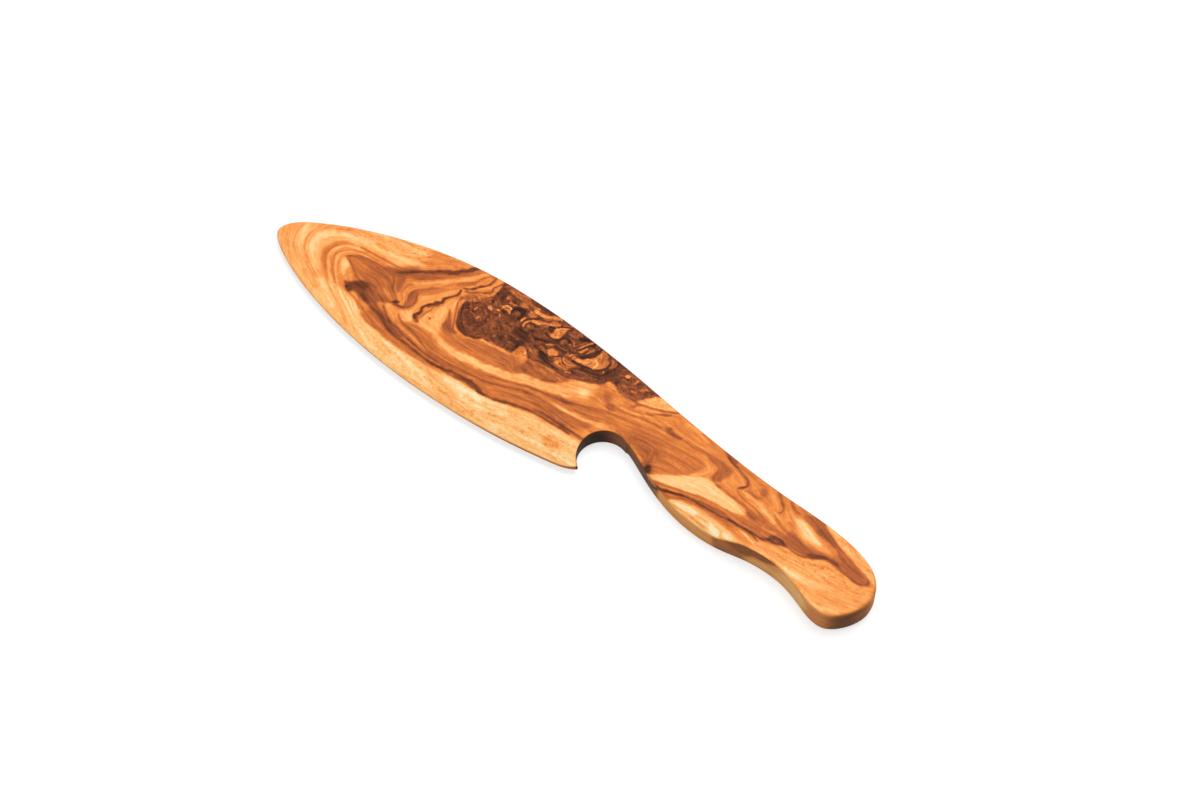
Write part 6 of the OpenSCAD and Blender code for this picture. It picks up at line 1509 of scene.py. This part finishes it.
class KnifeSizes(bpy.types.PropertyGroup):
    """Lengths of the knife, as it lies on its side."""

    blade_length: size("Blade length", "Tip to the centre of the finger notch", 119.8)
    handle_length: size("Handle length", "Centre of the finger notch to the butt", 80.8)
    board_thickness: size("Board thickness", "Thickness of the handle", 7.3)
    spine_height: size("Spine height", "Crest of the spine above the tip line", 24.9)
    crest_to_notch: size("Crest to notch", "Crest of the spine to the notch centre", 52.5)
    edge_depth: size("Edge depth", "Lowest point of the cutting edge below the tip line", 15.7)
    edge_low_to_notch: size("Edge low to notch", "Lowest point of the edge to the notch centre", 50.5)
    tip_rise: size("Tip rise", "Tip above the tip line", 1.7)
    tip_spine_pull: size("Tip fullness above", "How far the spine runs straight up from the tip", 6.9)
    tip_edge_pull: size("Tip fullness below", "How far the edge runs straight down from the tip", 4.2)
    crest_front_pull: size("Crest run", "How far the spine runs level in front of its crest", 36)
    edge_front_pull: size("Edge run", "How far the edge runs level in front of its lowest point", 42)
    neck_thickness: size("Neck thickness", "Thickness of the neck and the blade's back", 6)
    tip_thickness: size("Tip thickness", "Thickness of the blade just behind the tip", 2.6)
    thinning_length: size("Thinning length", "Length over which the blade thins towards the tip", 90)
    edge_thickness: size("Edge thickness", "Thickness of the cutting edge", 0.9)
    heel_thickness: size("Heel thickness", "Thickness of the edge where it reaches the heel", 1)
    slope_width: size("Slope width", "Width of the slope that falls away to the edge", 16)
    point_length: size("Point length", "Length over which the point thins to the edge", 5)
    spine_round: size("Spine rounding", "Rounding of the spine's corners", 0.9)
    notch_radius: size("Notch radius", "Radius of the finger notch", 7)
    notch_depth: size("Notch depth", "Notch centre below the tip line", 3.5)
    notch_round: size("Notch rounding", "Rounding of the notch's rim", 0.35)
    heel_to_notch: size("Heel to notch", "Start of the heel's turn to the notch centre", 8.9)
    heel_depth: size("Heel depth", "Start of the heel's turn below the tip line", 11.8)
    neck_rise: size("Neck rise", "Neck, where it leaves the notch, above the tip line", 3)
    neck_to_notch: size("Neck to notch", "Notch centre to the neck's start", 3.6)
    belly_depth: size("Belly depth", "Belly below the tip line", 6.1)
    belly_to_notch: size("Belly to notch", "Notch centre to the belly", 34)
    waist_depth: size("Waist depth", "Waist below the tip line", 3.8)
    waist_to_butt: size("Waist to butt", "Waist to the butt's end", 28.3)
    butt_depth: size("Butt depth", "Swell of the butt below the tip line", 8.4)
    swell_to_butt: size("Swell to butt", "Swell of the butt to its end", 8.6)
    butt_rise: size("Butt rise", "End of the butt above the tip line", 1.5)
    back_height: size("Back height", "Back of the handle above the tip line", 14.4)
    back_to_butt: size("Back to butt", "Back of the handle to the butt's end", 29.4)
    neck_fall: size("Neck fall", "How far the upper face falls to the edge at the neck", 1.2)
    belly_fall: size("Belly fall", "How far the upper face falls to the edge at the belly", 2.4)
    neck_round: size("Neck rounding", "Rounding of the upper edge at the neck", 0.5)
    belly_round: size("Belly rounding", "Rounding of the upper edge at the belly", 0.5)
    waist_round: size("Waist rounding", "Rounding of the upper edge at the waist", 0.4)
    butt_round: size("Butt rounding", "Rounding of the upper edge at the butt and the back", 0.7)
    end_round: size("End rounding", "Rounding of the upper edge at the butt's end", 1.6)
    sole_round: size("Sole rounding", "Rounding of the lower edge", 0.5)
    outline_step: size("Outline step", "Spacing of the points along the outline", 0.3)
    face_step: size("Face step", "Spacing of the points on the upper face", 0.26)
    burl_step: size("Burl step", "Spacing of the points in the burl on the upper face", 0.15)
    sole_step: size("Sole step", "Spacing of the points on the lower face", 0.65)


class KnifeLooks(bpy.types.PropertyGroup):
    """Finish of the wood and the stage."""

    sap_tone: amount("Sap tone", "Tone of the wood where no figure is drawn", 0.6, "FACTOR")
    pore_strength: amount("Pore strength", "How strongly the pores change the tone", 0.12)
    roughness: amount("Roughness", "Roughness of the oiled surface", 0.56, "FACTOR")
    floor_colour: FloatVectorProperty(
        name="Floor colour", description="Colour of the floor", default=(0.45, 0.45, 0.45),
        size=3, min=0, max=1, subtype="COLOR",
    )
    floor_lift: amount("Floor lift", "White added to the floor for the camera", 0.66)


# Operators

# stage, in metres, watts and degrees; the lens and its sensor in millimetres
FLOOR_HALF, FLOOR_ROUGHNESS, FLOOR_SPECULAR = 3.0, 0.9, 0.1
STUDIO_STRENGTH = 0.28
KEY_PLACE, KEY_WIDTH, KEY_POWER = (0.05, 0.5, 1.3), 1.1, 15
FILL_PLACE, FILL_WIDTH, FILL_POWER = (-0.5, -0.9, 0.7), 0.9, 4.4
LENS, SENSOR = 70, 36
CAMERA_AIM, CAMERA_AWAY = Vector((0.0063, 0.0077, 0.00055)), 0.6285
CAMERA_TURN, CAMERA_RISE = math.radians(37.75), math.radians(56)


class KNIFE_OT_body(bpy.types.Operator):
    """Carve the knife from one board and give it the drawn wood figure"""

    bl_idname = "knife.body"
    bl_label = "Knife body"

    def execute(self, context):
        mesh = carve(context.scene.knife_sizes, context.scene.knife_looks)
        mesh.materials.append(olive_wood(context.scene.knife_looks))
        knife = bpy.data.objects.new("carved_knife", mesh)
        context.scene.collection.objects.link(knife)
        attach(knife, "root")
        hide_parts("knife_body")
        return {"FINISHED"}


def aimed(obj, spot):
    obj.rotation_euler = (Vector(spot) - obj.location).to_track_quat("-Z", "Y").to_euler()


def soft_light(name, place, width, power):
    lamp = bpy.data.lights.new(name, "AREA")
    lamp.shape, lamp.size, lamp.energy = "DISK", width, power
    obj = bpy.data.objects.new(name, lamp)
    obj.location = place
    bpy.context.scene.collection.objects.link(obj)
    aimed(obj, (0, 0, 0))


def pale_floor(looks):
    """A matt floor that the camera sees lifted towards white, and that keeps the knife's shadow."""
    material = bpy.data.materials.new("pale_floor")
    material.use_nodes = True
    tree = material.node_tree
    shader = tree.nodes["Principled BSDF"]
    shader.inputs["Base Color"].default_value = (*looks.floor_colour, 1)
    shader.inputs["Roughness"].default_value = FLOOR_ROUGHNESS
    shader.inputs["Specular IOR Level"].default_value = FLOOR_SPECULAR
    ray = tree.nodes.new("ShaderNodeLightPath").outputs
    seen = math_node(tree, "MAXIMUM", ray["Is Camera Ray"], ray["Is Glossy Ray"])
    seen = math_node(tree, "MAXIMUM", seen, ray["Is Transmission Ray"])
    shader.inputs["Emission Color"].default_value = (1, 1, 1, 1)
    lift = math_node(tree, "MULTIPLY", seen, looks.floor_lift)
    tree.links.new(lift, shader.inputs["Emission Strength"])
    return material


class KNIFE_OT_stage(bpy.types.Operator):
    """Set the pale floor, the soft lights and the camera"""

    bl_idname = "knife.stage"
    bl_label = "Stage"

    def execute(self, context):
        scene, looks = context.scene, context.scene.knife_looks
        mesh = bpy.data.meshes.new("floor")
        corners = [(x * FLOOR_HALF, y * FLOOR_HALF, 0) for x, y in ((-1, -1), (1, -1), (1, 1), (-1, 1))]
        mesh.from_pydata(corners, [], [(0, 1, 2, 3)])
        mesh.materials.append(pale_floor(looks))
        floor = bpy.data.objects.new("floor", mesh)
        scene.collection.objects.link(floor)

        world = bpy.data.worlds.new("studio")
        world.use_nodes = True
        sky = world.node_tree.nodes["Background"].inputs
        sky["Color"].default_value = (1, 1, 1, 1)
        sky["Strength"].default_value = STUDIO_STRENGTH
        scene.world = world
        soft_light("key", KEY_PLACE, KEY_WIDTH, KEY_POWER)
        soft_light("fill", FILL_PLACE, FILL_WIDTH, FILL_POWER)

        lens = bpy.data.cameras.new("camera")
        lens.lens, lens.sensor_width = LENS, SENSOR
        camera = bpy.data.objects.new("camera", lens)
        level = CAMERA_AWAY * math.cos(CAMERA_RISE)
        side, front = level * math.sin(CAMERA_TURN), -level * math.cos(CAMERA_TURN)
        camera.location = CAMERA_AIM + Vector((side, front, CAMERA_AWAY * math.sin(CAMERA_RISE)))
        scene.collection.objects.link(camera)
        aimed(camera, CAMERA_AIM)
        scene.camera = camera
        scene.view_settings.view_transform = "Standard"
        return {"FINISHED"}


class KNIFE_PT_panel(bpy.types.Panel):
    """Sizes, finish and making of the knife"""

    bl_idname = "KNIFE_PT_panel"
    bl_label = "Olive Wood Knife"
    bl_space_type = "VIEW_3D"
    bl_region_type = "UI"
    bl_category = "Knife"

    def draw(self, context):
        for group in (context.scene.knife_sizes, context.scene.knife_looks):
            box = self.layout.box()
            for name in group.__annotations__:
                box.prop(group, name)
        self.layout.operator(KNIFE_OT_body.bl_idname)
        self.layout.operator(KNIFE_OT_stage.bl_idname)


CLASSES = (KnifeSizes, KnifeLooks, KNIFE_OT_body, KNIFE_OT_stage, KNIFE_PT_panel)


def register():
    for cls in CLASSES:
        bpy.utils.register_class(cls)
    bpy.types.Scene.knife_sizes = PointerProperty(type=KnifeSizes)
    bpy.types.Scene.knife_looks = PointerProperty(type=KnifeLooks)


def unregister():
    del bpy.types.Scene.knife_sizes
    del bpy.types.Scene.knife_looks
    for cls in reversed(CLASSES):
        bpy.utils.unregister_class(cls)


def main():
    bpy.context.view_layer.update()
    register()
    bpy.ops.knife.body()
    bpy.ops.knife.stage()


if __name__ == "__main__":
    main()
